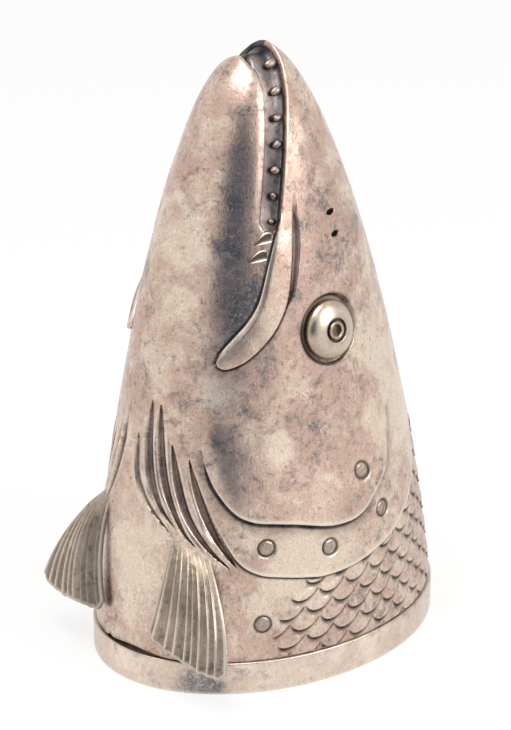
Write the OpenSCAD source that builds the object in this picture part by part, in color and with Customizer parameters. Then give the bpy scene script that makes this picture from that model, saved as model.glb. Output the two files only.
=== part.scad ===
// Fish head stirrup cup: a raised silver head that stands, nose up, on its drinking rim.
// Belly towards -Y, back towards +Y, the fish's left flank towards +X, table at z = 0.

/* [Head] */
// Height of the nose above the table
head_h = 130; // [120:1:140]
// Height at which the side lines have taken their first turn
shoulder_h = 58.6; // [54:0.2:64]
// Depth of the head, belly to back, at its lower edge
base_depth = 78.6; // [72:0.2:86]
// Width of the head at its lower edge
base_width = 59.4; // [54:0.2:66]
// Pull of the back line at the nape
back_mid = 33.3; // [30:0.1:36]
// Pull of the back line at the snout
back_nose = 13; // [11:0.1:15]
// Pull of the belly line at the throat
belly_mid = 35.5; // [32:0.1:38]
// Pull of the belly line at the chin
belly_nose = 19; // [17:0.1:21]
// Pull of the side line at the cheeks
side_mid = 26.3; // [24:0.1:28]
// Pull of the side line at the jaws
side_nose = 14.4; // [13:0.1:16]
// Where the nose lies, towards the belly
nose_y = -3; // [-5:0.1:-1]
// Thickness of the raised sheet
wall = 1.2; // [1:0.1:1.6]
// Room for solder between two pieces
solder = 0.06; // [0.04:0.01:0.1]

/* [Rim band] */
// Height of the band round the drinking rim
band_h = 7; // [5:0.5:9]
// How far the band stands proud of the head
band_proud = 0.6; // [0.2:0.1:1]
// Height of the lip that enters the head
lip_h = 3.5; // [2:0.5:5]
// Thickness of the lip
lip_t = 0.8; // [0.6:0.1:1.2]

/* [Mouth] */
// Width of the open mouth between the lips
mouth_gap = 5.1; // [4.6:0.1:5.8]
// Length of the mouth, down from the nose to its corners
mouth_len = 35; // [32:0.5:38]
// Place of the mouth line at the nose, towards the belly
mouth_y = -1.9; // [-2.6:0.1:-1.2]
// Lean of the mouth line towards the back
mouth_tilt = 15.6; // [13:0.1:18]
// Depth of the mouth channel under the lips
mouth_depth = 3.2; // [2.6:0.1:4]
// Sheet thickness of the mouth channel
lining_t = 0.8; // [0.6:0.1:1]
// How far the channel lies below the lips
lip_step = 0.4; // [0.3:0.1:0.6]
// How far below the mouth corners the jaw seam leaves the mouth line
jaw_back_drop = 15; // [12:0.5:18]
// How far below the mouth corners the jaw seam meets the throat
jaw_throat_drop = 33; // [29:0.5:37]

/* [Teeth] */
// Number of bead teeth on each side
tooth_count = 7; // [4:1:7]
// Height of the first bead above the mouth corner
tooth_first = 2.6; // [2:0.1:3.2]
// Space between two beads
tooth_pitch = 4.7; // [4.2:0.1:5]
// Diameter of a bead tooth
tooth_d = 2; // [1.6:0.1:2.2]
// Diameter of the peg under a bead
tooth_peg_d = 0.8; // [0.6:0.1:1]
// Length of the folds at a mouth corner
fold_len = 3.4; // [2.8:0.1:3.8]
// Width of a fold
fold_w = 1.7; // [1.4:0.1:2]
// Height of a fold above the skin
fold_t = 0.8; // [0.5:0.1:1]
// Space between the folds
fold_pitch = 3.1; // [2.8:0.1:3.6]

/* [Upper lip bones] */
// Width of the bone strip behind the mouth
bone_w = 3.9; // [3:0.1:4.4]
// Thickness of the bone strip
bone_t = 0.9; // [0.6:0.1:1.2]
// How far the strip's upper end lies above the mouth corner
bone_above = 3; // [1:0.5:5]
// How far the strip's lower end lies below the mouth corner
bone_below = 24; // [22:0.5:27]

/* [Eyes] */
// Diameter of the eye boss
eye_d = 13; // [11:0.2:14]
// How far the eye's middle lies below the mouth corner
eye_drop = 21.3; // [17:0.1:25]
// Rise of the eye boss above the cheek
eye_rise = 1.9; // [1.4:0.1:2.4]
// Height of the boss at its rim
eye_edge = 0.3; // [0.2:0.1:0.6]
// Depth of the seat that holds the boss
eye_seat = 0.7; // [0.5:0.05:0.8]
// Groove left round the boss
eye_groove = 0.5; // [0.3:0.1:0.8]
// Diameter of the recess round the pupil
recess_d = 4.4; // [4:0.1:5]
// Depth of that recess
recess_depth = 0.6; // [0.4:0.1:0.9]
// Diameter of the rivet head that is the pupil
pupil_d = 3.3; // [3:0.1:3.6]
// Diameter of the hole in the pupil
pupil_bore = 1.7; // [1.4:0.1:2]
// Diameter of the rivet's shank
shank_d = 2.2; // [1.9:0.1:2.4]

/* [Nostrils] */
// Diameter of a nostril hole
nostril_d = 1.4; // [1:0.1:1.8]
// How far the lower nostril lies below the mouth corner
nostril_drop = 3.1; // [2:0.1:6]
// Space between the two nostrils
nostril_pitch = 4.5; // [3.5:0.1:6]
// Angle of the nostrils round the head, from the flank
nostril_angle = 14; // [12:1:20]

/* [Gill plates] */
// Thickness of the gill cover
gill_t = 0.8; // [0.5:0.1:1]
// Lowest point of the gill cover
gill_low = 22.7; // [21:0.1:24]
// Rise of its edge towards the belly
gill_front_rise = 27; // [24:0.5:29]
// Rise of its edge towards the back
gill_rear_rise = 22.4; // [20:0.2:24]
// Thickness of the cheek plate at its edge
cheek_t = 0.9; // [0.6:0.1:1.2]
// Thickness of the cheek plate where it runs out
feather_t = 0.35; // [0.3:0.05:0.5]
// Lowest point of the cheek plate
cheek_low = 33.3; // [32:0.1:35]
// Rise of its edge towards the belly
cheek_front_rise = 16; // [14:0.5:18]
// Rise of its edge towards the back
cheek_rear_rise = 19.2; // [17:0.2:21]
// Room between the cheek plate and the eye
cheek_room = 5.2; // [3.2:0.1:7.2]
// How far the cheek plate covers the gill cover
cover_lap = 2.5; // [2:0.1:3]

/* [Fins] */
// Height of the root's end near the belly
fin_root_z = 32.6; // [31:0.1:34]
// Angle of that end round the head, from the flank
fin_root_angle = -68; // [-70:1:-66]
// Drop of the root towards the flank
fin_root_drop = 4.5; // [3.5:0.1:5.5]
// Angle through which the root runs towards the flank
fin_sweep_angle = 17; // [14:1:19]
// Height at which the edge near the belly bends
fin_belly_bend_z = 22.4; // [20:0.1:25]
// How far that bend pulls off the head
fin_belly_bend_out = 4; // [3:0.1:5]
// Height at which the edge near the flank bends
fin_side_bend_z = 19; // [17:0.1:22]
// How far that bend pulls off the head
fin_side_bend_out = 9.1; // [7:0.1:10]
// Height of the corner near the belly
fin_belly_z = 12.7; // [11:0.1:14]
// How far that corner stands off the head
fin_belly_out = 2.2; // [2:0.1:3]
// Height of the corner near the flank
fin_side_z = 9.9; // [9.5:0.1:12]
// How far that corner stands off the head
fin_side_out = 11.8; // [9:0.1:13]
// Thickness of the fin between its rays
fin_t = 0.8; // [0.6:0.1:1]
// Height of a ray on the fin's outer face
ray_h = 0.35; // [0.2:0.05:0.5]
// Number of rays
ray_count = 9; // [7:1:11]
// Drop of the rounded lower edge
fin_bow = 1.4; // [0.8:0.1:1.6]
// Diameter of the peg that holds the fin
fin_peg_d = 2.2; // [1.8:0.1:2.6]

/* [Hidden] */

silver = "#c9bcae";
worn_silver = "#d8cec2";
dark_silver = "#8d837c";

// Facets round the head and up it
around = 60;
up_rows = 26;
// Small room between a plate and the facets of the sheet under it
seat_gap = 0.12;
// Room round a peg or a shank
peg_fit = 0.05;
// Thickness of a peened tail inside the head
tail_t = 0.6;
// Length of a drill that goes through the sheet from either side
drill = 6*wall;
// Far beyond the head, for cuts
beyond = 200;

// Heights of the face, all taken down from the nose
mouth_low = head_h - mouth_len;
jaw_back_z = mouth_low - jaw_back_drop;
jaw_throat_z = mouth_low - jaw_throat_drop;
bone_top_z = mouth_low + bone_above;
bone_low_z = mouth_low - bone_below;
eye_z = mouth_low - eye_drop;
nostril_z = mouth_low - nostril_drop;
cheek_top = eye_z - eye_d/2 - cheek_room;

// Controls of the four lines that shape the head, from its lower edge to the nose
height_line = [band_h, shoulder_h, head_h, head_h];
back_line = [base_depth/2, back_mid, back_nose, nose_y];
belly_line = [-base_depth/2, -belly_mid, -belly_nose, nose_y];
side_line = [base_width/2, side_mid, side_nose, 0];

// A cubic line and its slope at share s of its length
function line_at(p, s) = p[0]*(1 - s)^3 + 3*p[1]*s*(1 - s)^2 + 3*p[2]*s^2*(1 - s) + p[3]*s^3;
function slope_at(p, s) =
    3*(p[1] - p[0])*(1 - s)^2 + 6*(p[2] - p[1])*s*(1 - s) + 3*(p[3] - p[2])*s^2;

// Share of the height line at which a height is reached, found by halving
function share_at(z, low = 0, high = 1, steps = 22) =
    let (mid = (low + high)/2)
    steps == 0 ? mid
    : line_at(height_line, mid) < z ? share_at(z, mid, high, steps - 1)
    : share_at(z, low, mid, steps - 1);

// Half depth and middle of the oval section at share s
function half_depth(s) = (line_at(back_line, s) - line_at(belly_line, s))/2;
function middle_y(s) = (line_at(back_line, s) + line_at(belly_line, s))/2;

// Outward normal of the head at share s and angle a: 0 is the left flank, 90 the back, -90 the belly
function skin_normal(s, a) =
    let (
        w = line_at(side_line, s),
        h = half_depth(s),
        along = [-w*sin(a), h*cos(a), 0],
        rise = [
            slope_at(side_line, s)*cos(a),
            (slope_at(back_line, s) + slope_at(belly_line, s))/2
                + (slope_at(back_line, s) - slope_at(belly_line, s))/2*sin(a),
            slope_at(height_line, s)
        ],
        n = cross(along, rise)
    )
    n/norm(n);

// Point of the head, lifted outwards along the normal
function skin(s, a, lift = 0) =
    [line_at(side_line, s)*cos(a), middle_y(s) + half_depth(s)*sin(a), line_at(height_line, s)]
    + lift*skin_normal(s, a);
function skin_z(z, a, lift = 0) = skin(share_at(z), a, lift);

// Length along the skin of one degree round the head
function turn_length(s, a) = norm([line_at(side_line, s)*sin(a), half_depth(s)*cos(a)])*PI/180;

function mix(p, q, t) = p*(1 - t) + q*t;
function flat(rows) = [for (row = rows) each row];

// Two triangles for each four-cornered face
function halves(quads) = flat([for (q = quads) [[q[0], q[1], q[2]], [q[0], q[2], q[3]]]]);

// Closed plate between an outer and an inner grid of points, rows upwards
module plate(outer, inner) {
    rows = len(outer) - 1;
    cols = len(outer[0]) - 1;
    wide = cols + 1;
    under = wide*(rows + 1);
    skin_faces = [for (i = [0:rows - 1], j = [0:cols - 1]) let (k = i*wide + j)
        [k, k + wide, k + wide + 1, k + 1]];
    back_faces = [for (q = skin_faces) [under + q[0], under + q[3], under + q[2], under + q[1]]];
    side_edges = concat(
        [for (i = [0:rows - 1]) [(i + 1)*wide, i*wide]],
        [for (i = [0:rows - 1]) [i*wide + cols, (i + 1)*wide + cols]],
        [for (j = [0:cols - 1]) [j, j + 1]],
        [for (j = [0:cols - 1]) [rows*wide + j + 1, rows*wide + j]]
    );
    side_faces = [for (e = side_edges) [e[0], e[1], under + e[1], under + e[0]]];
    polyhedron(concat(flat(outer), flat(inner)), halves(concat(skin_faces, back_faces, side_faces)));
}

// Closed dome from rings of points that end in a pole, outside and inside
module dome(outer, inner, outer_pole, inner_pole) {
    rows = len(outer) - 1;
    wide = len(outer[0]);
    under = wide*(rows + 1);
    pole = 2*under;
    skin_faces = [for (i = [0:rows - 1], j = [0:wide - 1])
        let (k = i*wide + j, n = i*wide + (j + 1)%wide) [k, k + wide, n + wide, n]];
    back_faces = [for (q = skin_faces) [under + q[0], under + q[3], under + q[2], under + q[1]]];
    rim_faces = [for (j = [0:wide - 1]) let (n = (j + 1)%wide) [j, n, under + n, under + j]];
    tips = [for (j = [0:wide - 1]) let (k = rows*wide + j, n = rows*wide + (j + 1)%wide)
        each [[k, pole, n], [under + k, under + n, pole + 1]]];
    polyhedron(
        concat(flat(outer), flat(inner), [outer_pole, inner_pole]),
        concat(halves(concat(skin_faces, back_faces, rim_faces)), tips)
    );
}

// Sheet of the whole head, with no openings yet
module head_sheet() {
    low = share_at(band_h + solder);
    rings = [for (i = [0:up_rows - 1]) low + (1 - low)*i/up_rows];
    turn = [for (j = [0:around - 1]) 360*j/around];
    // The lower edge is filed flat to meet the band
    filed = function(p) [p[0], p[1], max(p[2], band_h + solder)];
    dome(
        [for (s = rings) [for (a = turn) skin(s, a)]],
        [for (s = rings) [for (a = turn) filed(skin(s, a, -wall))]],
        [0, nose_y, head_h],
        [0, nose_y, head_h - wall]
    );
}

// Prism with an outline given in depth and height, across the whole width
module across(outline) {
    rotate([90, 0, 90]) linear_extrude(beyond, center = true) polygon(outline);
}

// Puts children on the head with z along the normal
module on_skin(z, a, lift = 0) {
    n = skin_normal(share_at(z), a);
    translate(skin_z(z, a, lift)) rotate([0, acos(n[2]), atan2(n[1], n[0])]) children();
}

// Mouth line: its depth at a height, and the frame with z along it and y across it
function mouth_at(z) = mouth_y + (z - head_h)*tan(mouth_tilt);
module on_mouth() {
    translate([0, mouth_y, head_h]) rotate([-mouth_tilt, 0, 0]) children();
}

// Open mouth, with room each side
module mouth_slot(room) {
    on_mouth() translate([-beyond/2, -mouth_gap/2 - room, mouth_floor - room])
        cube([beyond, mouth_gap + 2*room, beyond]);
}

// Outline that parts the lower jaw from the head, with a gap to it
function jaw_outline(gap) =
    let (fall = (jaw_back_z - jaw_throat_z)/(mouth_at(jaw_back_z) + belly_at(jaw_throat_z)))
    [
        [mouth_at(head_h + beyond) - gap, head_h + beyond],
        [mouth_at(jaw_back_z) - gap, jaw_back_z + gap],
        [mouth_at(jaw_back_z) - beyond, jaw_back_z - beyond*fall + gap],
        [mouth_at(jaw_back_z) - 2*beyond, head_h + beyond]
    ];
function belly_at(z) = -line_at(belly_line, share_at(z));

module head_shell() {
    color(silver) difference() {
        head_sheet();
        across(jaw_outline(0));
        mouth_slot(solder);
        for (side = [0, 1]) mirror([side, 0, 0]) {
            on_skin(eye_z, 0, -eye_seat) cylinder(d = eye_d + 2*eye_groove, h = beyond/10, $fn = 64);
            on_skin(eye_z, 0, -drill/2) cylinder(d = shank_d + 2*peg_fit, h = drill, $fn = 32);
            for (k = [0, 1]) on_skin(nostril_z + k*nostril_pitch, nostril_angle, -drill/2)
                cylinder(d = nostril_d, h = drill, $fn = 32);
            on_skin(fin_peg_z, fin_peg_angle, -drill/2)
                cylinder(d = fin_peg_d + 2*peg_fit, h = drill, $fn = 32);
        }
    }
}

module lower_jaw() {
    color(silver) difference() {
        intersection() {
            head_sheet();
            across(jaw_outline(solder));
        }
        mouth_slot(solder);
    }
}

// Oval at the lower edge of the head, drawn in or let out
function oval(out, s = 0) = [for (j = [0:2*around - 1]) let (a = 180*j/around)
    [(line_at(side_line, s) + out)*cos(a), middle_y(s) + (half_depth(s) + out)*sin(a)]];

module rim_band() {
    lip_s = share_at(band_h + lip_h);
    color(worn_silver) difference() {
        union() {
            linear_extrude(band_h) polygon(oval(band_proud));
            linear_extrude(band_h + lip_h) polygon(oval(-wall - seat_gap, lip_s));
        }
        translate([0, 0, -1]) linear_extrude(beyond) polygon(oval(-wall - seat_gap - lip_t, lip_s));
    }
}

// Half width of the head where a plane beside the mouth line cuts it
mouth_steps = 18;
mouth_floor = (mouth_low - head_h)/cos(mouth_tilt);
function mouth_half(s, off) =
    let (q = (mouth_at(line_at(height_line, s)) + off/cos(mouth_tilt) - middle_y(s))/half_depth(s))
    line_at(side_line, s)*sqrt(max(0, 1 - q*q));

// Share at which that plane leaves the head near the nose
function mouth_end(off, low = share_at(mouth_low + mouth_gap), high = 0.999, steps = 22) =
    let (mid = (low + high)/2)
    steps == 0 ? low
    : mouth_half(mid, off) > 0 ? mouth_end(off, mid, high, steps - 1)
    : mouth_end(off, low, mid, steps - 1);

// Height of the mouth corner in that plane
function mouth_foot(off) = mouth_low - off*sin(mouth_tilt);

// Point of the mouth's edge in that plane at share s of the head, drawn in by a depth
function mouth_point(s, off, depth) =
    let (
        foot = mouth_foot(off),
        top = (line_at(height_line, mouth_end(off)) - foot)/cos(mouth_tilt),
        z = (line_at(height_line, s) - foot)/cos(mouth_tilt),
        corner = mouth_half(share_at(foot), off)
    )
    [mouth_half(s, off)*(corner - depth)/corner, mouth_floor + z*(top - depth)/top];

// The same from a corner (t = 0) to the nose (t = 1)
function mouth_edge(t, off, depth) =
    mouth_point(mix(share_at(mouth_foot(off)), mouth_end(off), 1 - (1 - t)^2), off, depth);
function mouth_arch(off, depth) = concat(
    [for (k = [0:mouth_steps]) mouth_edge(k/mouth_steps, off, depth)],
    [for (k = [mouth_steps - 1:-1:0]) let (p = mouth_edge(k/mouth_steps, off, depth)) [-p[0], p[1]]]
);
function reversed(list) = [for (k = [len(list) - 1:-1:0]) list[k]];

// Arch of sheet in the mouth's frame, from one side of the mouth to the other
module mouth_sheet(from, to, outer, inner) {
    translate([0, to, 0]) rotate([90, 0, 0])
        linear_extrude(to - from) polygon(concat(outer, reversed(inner)));
}

module mouth_lining() {
    half = mouth_gap/2;
    under = mouth_arch(-half, mouth_depth + lining_t);
    corner = mouth_edge(0, -half, 0);
    color(dark_silver) on_mouth() difference() {
        union() {
            mouth_sheet(-half, half, mouth_arch(-half, mouth_depth), under);
            mouth_sheet(-half, lining_t - half, mouth_arch(-half, lip_step), under);
            mouth_sheet(half - lining_t, half, mouth_arch(half, lip_step), under);
            for (side = [0, 1]) mirror([side, 0, 0])
                translate([corner[0] - mouth_depth - lining_t, -half, corner[1]])
                    cube([mouth_depth + lining_t - lip_step, mouth_gap, lining_t]);
        }
        for (side = [0, 1]) mirror([side, 0, 0]) for (k = [0:tooth_count - 1]) on_tooth(k)
            translate([0, 0, -tooth_d]) cylinder(d = tooth_peg_d + 2*peg_fit, h = tooth_d, $fn = 24);
    }
}

// Frame of a tooth in the mouth's frame: on the channel's floor, z away from it
module on_tooth(k) {
    s = share_at(mouth_low + tooth_first + k*tooth_pitch);
    nudge = 0.01;
    off = -mouth_gap/2;
    foot = mouth_point(s, off, mouth_depth);
    run = mouth_point(s + nudge, off, mouth_depth) - mouth_point(s - nudge, off, mouth_depth);
    beside_lip = mouth_gap/2 - lining_t - tooth_d/2 - peg_fit;
    translate([foot[0], beside_lip, foot[1]]) rotate([0, atan2(run[1], -run[0]), 0]) children();
}

module left_teeth() {
    color(worn_silver) on_mouth() for (k = [0:tooth_count - 1]) on_tooth(k) {
        translate([0, 0, tooth_d/2 + peg_fit]) sphere(d = tooth_d, $fn = 32);
        translate([0, 0, -lining_t]) cylinder(d = tooth_peg_d, h = lining_t + tooth_d/2, $fn = 24);
    }
}

module right_teeth() {
    mirror([1, 0, 0]) left_teeth();
}

// Leaf shaped folds of skin that close the mouth corner
module left_mouth_folds() {
    steps = 8;
    blunt_angle = 10;
    for (k = [0, 1]) {
        z = mouth_low - fold_w - k*fold_pitch;
        s = share_at(z);
        middle = mouth_at(z) - mouth_gap/3;
        a = asin((middle - middle_y(s))/half_depth(s));
        turn = 1/turn_length(s, a);
        // Along the leaf u goes from 0 to 1, across it v from -1 to 1, and its ends stay a little blunt
        leaf = function(i, j, lift)
            let (
                u = i/steps,
                v = 2*j/steps - 1,
                w = fold_w/2*sin(mix(blunt_angle, 180 - blunt_angle, u)),
                x = u - 0.5
            )
            skin_z(z + v*w + x*fold_w/2, a + x*fold_len*turn, lift*(1 - v*v)*(1 + u)/2 + lift/4);
        color(worn_silver) plate(
            [for (j = [0:steps]) [for (i = [0:steps]) seat(leaf(i, j, fold_t*4/5), s, a)]],
            [for (j = [0:steps]) [for (i = [0:steps]) seat(leaf(i, j, 0), s, a)]]
        );
    }
}
function seat(p, s, a) = p + seat_gap*skin_normal(s, a);

module right_mouth_folds() {
    mirror([1, 0, 0]) left_mouth_folds();
}

// Centre line of the lip bone in angle and height: it drops, then sweeps towards the throat
bone_angles = [-17, -22, -27, -52];
bone_drop_shares = [0, 0.45, 0.8, 1];
function bone_mid(t) = [
    line_at(bone_angles, t),
    mix(bone_top_z, bone_low_z, line_at(bone_drop_shares, t))
];
// Shares of the bone's length where its lower end rounds off and its upper end tapers, and its end width
bone_round_share = 0.9;
bone_taper_share = 0.13;
bone_tip_share = 0.2;

// Point across the bone: v runs from -1 on the mouth side to 1, and lift is the height above the skin
function bone_point(t, v, lift) =
    let (
        c = bone_mid(t),
        s = share_at(c[1]),
        reach = turn_length(s, c[0]),
        step = 0.01,
        run = bone_mid(t + step) - bone_mid(t - step),
        dir = [run[0]*reach, run[1]],
        side = [-dir[1], dir[0]]/norm(dir),
        low_end = sqrt(max(0, 1 - max(0, (t - bone_round_share)/(1 - bone_round_share))^2)),
        top_end = min(1, t/bone_taper_share),
        half = bone_w/2*v*mix(bone_tip_share, 1, low_end*top_end)
    )
    skin_z(c[1] + side[1]*half, c[0] + side[0]*half/reach, lift);

module left_lip_bone() {
    rows = 8;
    cols = 24;
    crown = function(v) seat_gap + bone_t*(1 - 0.35*v*v);
    color(worn_silver) plate(
        [for (i = [0:rows]) [for (j = [0:cols]) let (v = 1 - 2*i/rows) bone_point(j/cols, -v, crown(v))]],
        [for (i = [0:rows]) [for (j = [0:cols]) bone_point(j/cols, 2*i/rows - 1, seat_gap)]]
    );
}

module right_lip_bone() {
    mirror([1, 0, 0]) left_lip_bone();
}

module left_eye_boss() {
    rim = eye_d/2;
    inner = acos(recess_d/eye_d);
    arc_steps = 12;
    dome_line = [for (k = [0:arc_steps]) let (t = inner*k/arc_steps)
        [rim*cos(t), eye_edge + (eye_rise - eye_edge)*sin(t)/sin(inner)]];
    bore = shank_d/2 + peg_fit;
    color(worn_silver) on_skin(eye_z, 0) rotate_extrude($fn = 96) polygon(concat(
        [[bore, solder - eye_seat], [rim, solder - eye_seat]],
        dome_line,
        [[recess_d/2, eye_rise - recess_depth], [bore, eye_rise - recess_depth]]
    ));
}

module right_eye_boss() {
    mirror([1, 0, 0]) left_eye_boss();
}

// Rivet that holds the eye: its hollow head is the pupil, its tail is peened inside the head
module left_eye_rivet() {
    head_low = eye_rise - recess_depth + solder;
    head_t = recess_depth;
    tail_high = -wall - seat_gap;
    color(worn_silver) on_skin(eye_z, 0) difference() {
        union() {
            translate([0, 0, head_low]) cylinder(d = pupil_d, h = head_t, $fn = 48);
            translate([0, 0, tail_high - tail_t])
                cylinder(d = shank_d, h = head_low - tail_high + 2*tail_t, $fn = 32);
            translate([0, 0, tail_high - tail_t]) cylinder(d = pupil_d, h = tail_t, $fn = 48);
        }
        translate([0, 0, head_low]) cylinder(d = pupil_bore, h = 2*head_t + 1, $fn = 32);
    }
}

module right_eye_rivet() {
    mirror([1, 0, 0]) left_eye_rivet();
}

// Angles round the head at which the plates start, are lowest and end
gill_front_angle = -62;
gill_low_angle = -12;
gill_rear_angle = 58;
cheek_front_angle = -58;
cheek_low_angle = -3;
cheek_rear_angle = 31;
// How late the edges turn upwards
front_power = 3;
gill_rear_power = 2;
cheek_rear_power = 1.6;
// Least height of a plate at its ends
end_h = 0.6;

// Lower edges of the plates: they rise towards the belly and towards the back
function gill_edge(a) = gill_low + (a < gill_low_angle
    ? gill_front_rise*((gill_low_angle - a)/(gill_low_angle - gill_front_angle))^front_power
    : gill_rear_rise*((a - gill_low_angle)/(gill_rear_angle - gill_low_angle))^gill_rear_power);
function cheek_edge(a) = cheek_low + (a < cheek_low_angle
    ? cheek_front_rise*((cheek_low_angle - a)/(cheek_low_angle - cheek_front_angle))^front_power
    : cheek_rear_rise*((a - cheek_low_angle)/(cheek_rear_angle - cheek_low_angle))^cheek_rear_power);
// Upper edge of the gill cover: under the cheek plate, then rounding down over the nape
function gill_top(a) =
    let (x = (a - cheek_rear_angle)/(gill_rear_angle - cheek_rear_angle))
    a < cheek_rear_angle ? cheek_edge(max(a, cheek_front_angle)) + cover_lap
    : mix(gill_edge(gill_rear_angle), cheek_edge(cheek_rear_angle) + cover_lap, sqrt(1 - x*x)) + end_h;
// Upper edge of the cheek plate: an arch from end to end
function cheek_arch(a) =
    let (
        share = (a - cheek_front_angle)/(cheek_rear_angle - cheek_front_angle),
        ends = mix(cheek_edge(cheek_front_angle), cheek_edge(cheek_rear_angle), share)
    )
    mix(ends, cheek_top, sqrt(max(0, 1 - (2*share - 1)^2))) + end_h;

module left_gill_cover() {
    rows = 6;
    cols = 36;
    place = function(i, j, lift) let (a = mix(gill_front_angle, gill_rear_angle, j/cols))
        skin_z(mix(gill_edge(a), gill_top(a), i/rows), a, lift);
    thick = function(i) mix(gill_t, gill_t/2, i/rows);
    color(silver) plate(
        [for (i = [0:rows]) [for (j = [0:cols]) place(i, j, seat_gap + thick(i))]],
        [for (i = [0:rows]) [for (j = [0:cols]) place(i, j, seat_gap)]]
    );
}

module right_gill_cover() {
    mirror([1, 0, 0]) left_gill_cover();
}

// Cheek plate: laps over the gill cover and runs out under the eye
module left_cheek_plate() {
    rows = 10;
    cols = 28;
    angle = function(j) mix(cheek_front_angle, cheek_rear_angle, j/cols);
    rise = function(i, a) (cheek_arch(a) - cheek_edge(a))*i/rows;
    run = cheek_top - cheek_low;
    foot = function(up) seat_gap + (gill_t + seat_gap)*max(0, 1 - up/run)^2;
    place = function(i, a, thick) let (up = rise(i, a)) skin_z(cheek_edge(a) + up, a, foot(up) + thick);
    color(silver) plate(
        [for (i = [0:rows]) [for (j = [0:cols]) place(i, angle(j), mix(cheek_t, feather_t, i/rows))]],
        [for (i = [0:rows]) [for (j = [0:cols]) place(i, angle(j), 0)]]
    );
}

module right_cheek_plate() {
    mirror([1, 0, 0]) left_cheek_plate();
}

// Fin: its two edges leave the root and bend outwards, with rays between them
fin_belly_angle = -74;
fin_belly_bend_angle = -69;
fin_side_angle = -48;
fin_side_bend_angle = -46;
// The peg sits behind the middle of the root
fin_peg_z = fin_root_z - fin_root_drop/2 - fin_peg_d/2;
fin_peg_angle = fin_root_angle + fin_sweep_angle/2;
function bend(p, q, r, t) = p*(1 - t)^2 + 2*q*t*(1 - t) + r*t*t;
function fin_mid(u, v) =
    let (
        root_lift = fin_t + 2*seat_gap,
        belly = bend(
            skin_z(fin_root_z, fin_root_angle, root_lift),
            skin_z(fin_belly_bend_z, fin_belly_bend_angle, fin_belly_bend_out),
            skin_z(fin_belly_z, fin_belly_angle, fin_belly_out), v),
        side = bend(
            skin_z(fin_root_z - fin_root_drop, fin_root_angle + fin_sweep_angle, root_lift),
            skin_z(fin_side_bend_z, fin_side_bend_angle, fin_side_bend_out),
            skin_z(fin_side_z, fin_side_angle, fin_side_out), v)
    )
    mix(belly, side, u) + [0, 0, -fin_bow*4*u*(1 - u)*v];
function fin_normal(u, v) =
    let (
        step = 0.02,
        n = cross(fin_mid(u + step, v) - fin_mid(u - step, v), fin_mid(u, v - step) - fin_mid(u, v + step))
    )
    n/norm(n);

module left_pectoral_fin() {
    rows = 8;
    cols = 4*ray_count;
    ridge = function(j) ray_h*(0.5 - 0.5*cos(360*j/4));
    color(worn_silver) union() {
        plate(
            [for (i = [0:rows]) [for (j = [0:cols]) let (u = j/cols, v = 1 - i/rows)
                fin_mid(u, v) + (fin_t/2 + ridge(j)*min(1, 2*v))*fin_normal(u, v)]],
            [for (i = [0:rows]) [for (j = [0:cols]) let (u = j/cols, v = 1 - i/rows)
                fin_mid(u, v) - fin_t/2*fin_normal(u, v)]]
        );
        on_skin(fin_peg_z, fin_peg_angle, -wall - seat_gap - tail_t)
            cylinder(d = fin_peg_d, h = wall + 2*seat_gap + tail_t + fin_t, $fn = 32);
        on_skin(fin_peg_z, fin_peg_angle, -wall - seat_gap - tail_t)
            cylinder(d = fin_peg_d + 2*tail_t, h = tail_t, $fn = 32);
    }
}

module right_pectoral_fin() {
    mirror([1, 0, 0]) left_pectoral_fin();
}

head_shell();
lower_jaw();
mouth_lining();
rim_band();
left_teeth();
right_teeth();
left_mouth_folds();
right_mouth_folds();
left_lip_bone();
right_lip_bone();
left_eye_boss();
right_eye_boss();
left_eye_rivet();
right_eye_rivet();
left_gill_cover();
right_gill_cover();
left_cheek_plate();
right_cheek_plate();
left_pectoral_fin();
right_pectoral_fin();
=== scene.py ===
import math

import bmesh
import bpy
import mathutils
import numpy as np
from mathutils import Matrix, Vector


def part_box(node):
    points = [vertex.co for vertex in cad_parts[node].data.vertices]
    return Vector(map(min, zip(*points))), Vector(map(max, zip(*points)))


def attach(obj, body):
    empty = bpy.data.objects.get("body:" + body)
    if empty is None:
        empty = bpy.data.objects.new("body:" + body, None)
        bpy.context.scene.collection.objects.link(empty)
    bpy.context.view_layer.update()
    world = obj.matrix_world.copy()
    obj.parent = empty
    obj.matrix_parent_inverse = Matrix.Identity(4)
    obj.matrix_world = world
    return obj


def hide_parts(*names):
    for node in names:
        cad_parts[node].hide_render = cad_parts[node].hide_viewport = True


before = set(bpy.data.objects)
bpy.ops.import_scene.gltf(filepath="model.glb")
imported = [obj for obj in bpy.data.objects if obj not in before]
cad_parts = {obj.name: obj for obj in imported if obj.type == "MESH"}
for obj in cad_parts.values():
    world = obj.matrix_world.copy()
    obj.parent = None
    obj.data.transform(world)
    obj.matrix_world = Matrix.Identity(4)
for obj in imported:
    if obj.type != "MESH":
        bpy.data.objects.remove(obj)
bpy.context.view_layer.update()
mm = 0.001
print("stage: frame loaded, nodes", len(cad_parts))

headLow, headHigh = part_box("head_shell")
headLines = {  # pulls of the four lines that shape the head, lower edge to nose
    "height": (7.0, 58.6, 130.0, 130.0),
    "back": (headHigh.y/mm, 33.3, 13.0, -3.0),
    "belly": (headLow.y/mm, -35.5, -19.0, -3.0),
    "side": (headHigh.x/mm, 26.3, 14.4, 0.0),
}
rimHeight, noseHeight = headLines["height"][0], headLines["height"][3]
sheetWall = 1.2  # thickness of the raised sheet
bothHands = (("left", False), ("right", True))  # the right side is the left one mirrored


# Cubic line at share s: four pulls weighted by (1 - s)^3, 3s(1 - s)^2, 3s^2(1 - s) and s^3.
def lineAt(pulls, s):
    return pulls[0]*(1 - s)**3 + 3*pulls[1]*s*(1 - s)**2 + 3*pulls[2]*s**2*(1 - s) + pulls[3]*s**3


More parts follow.
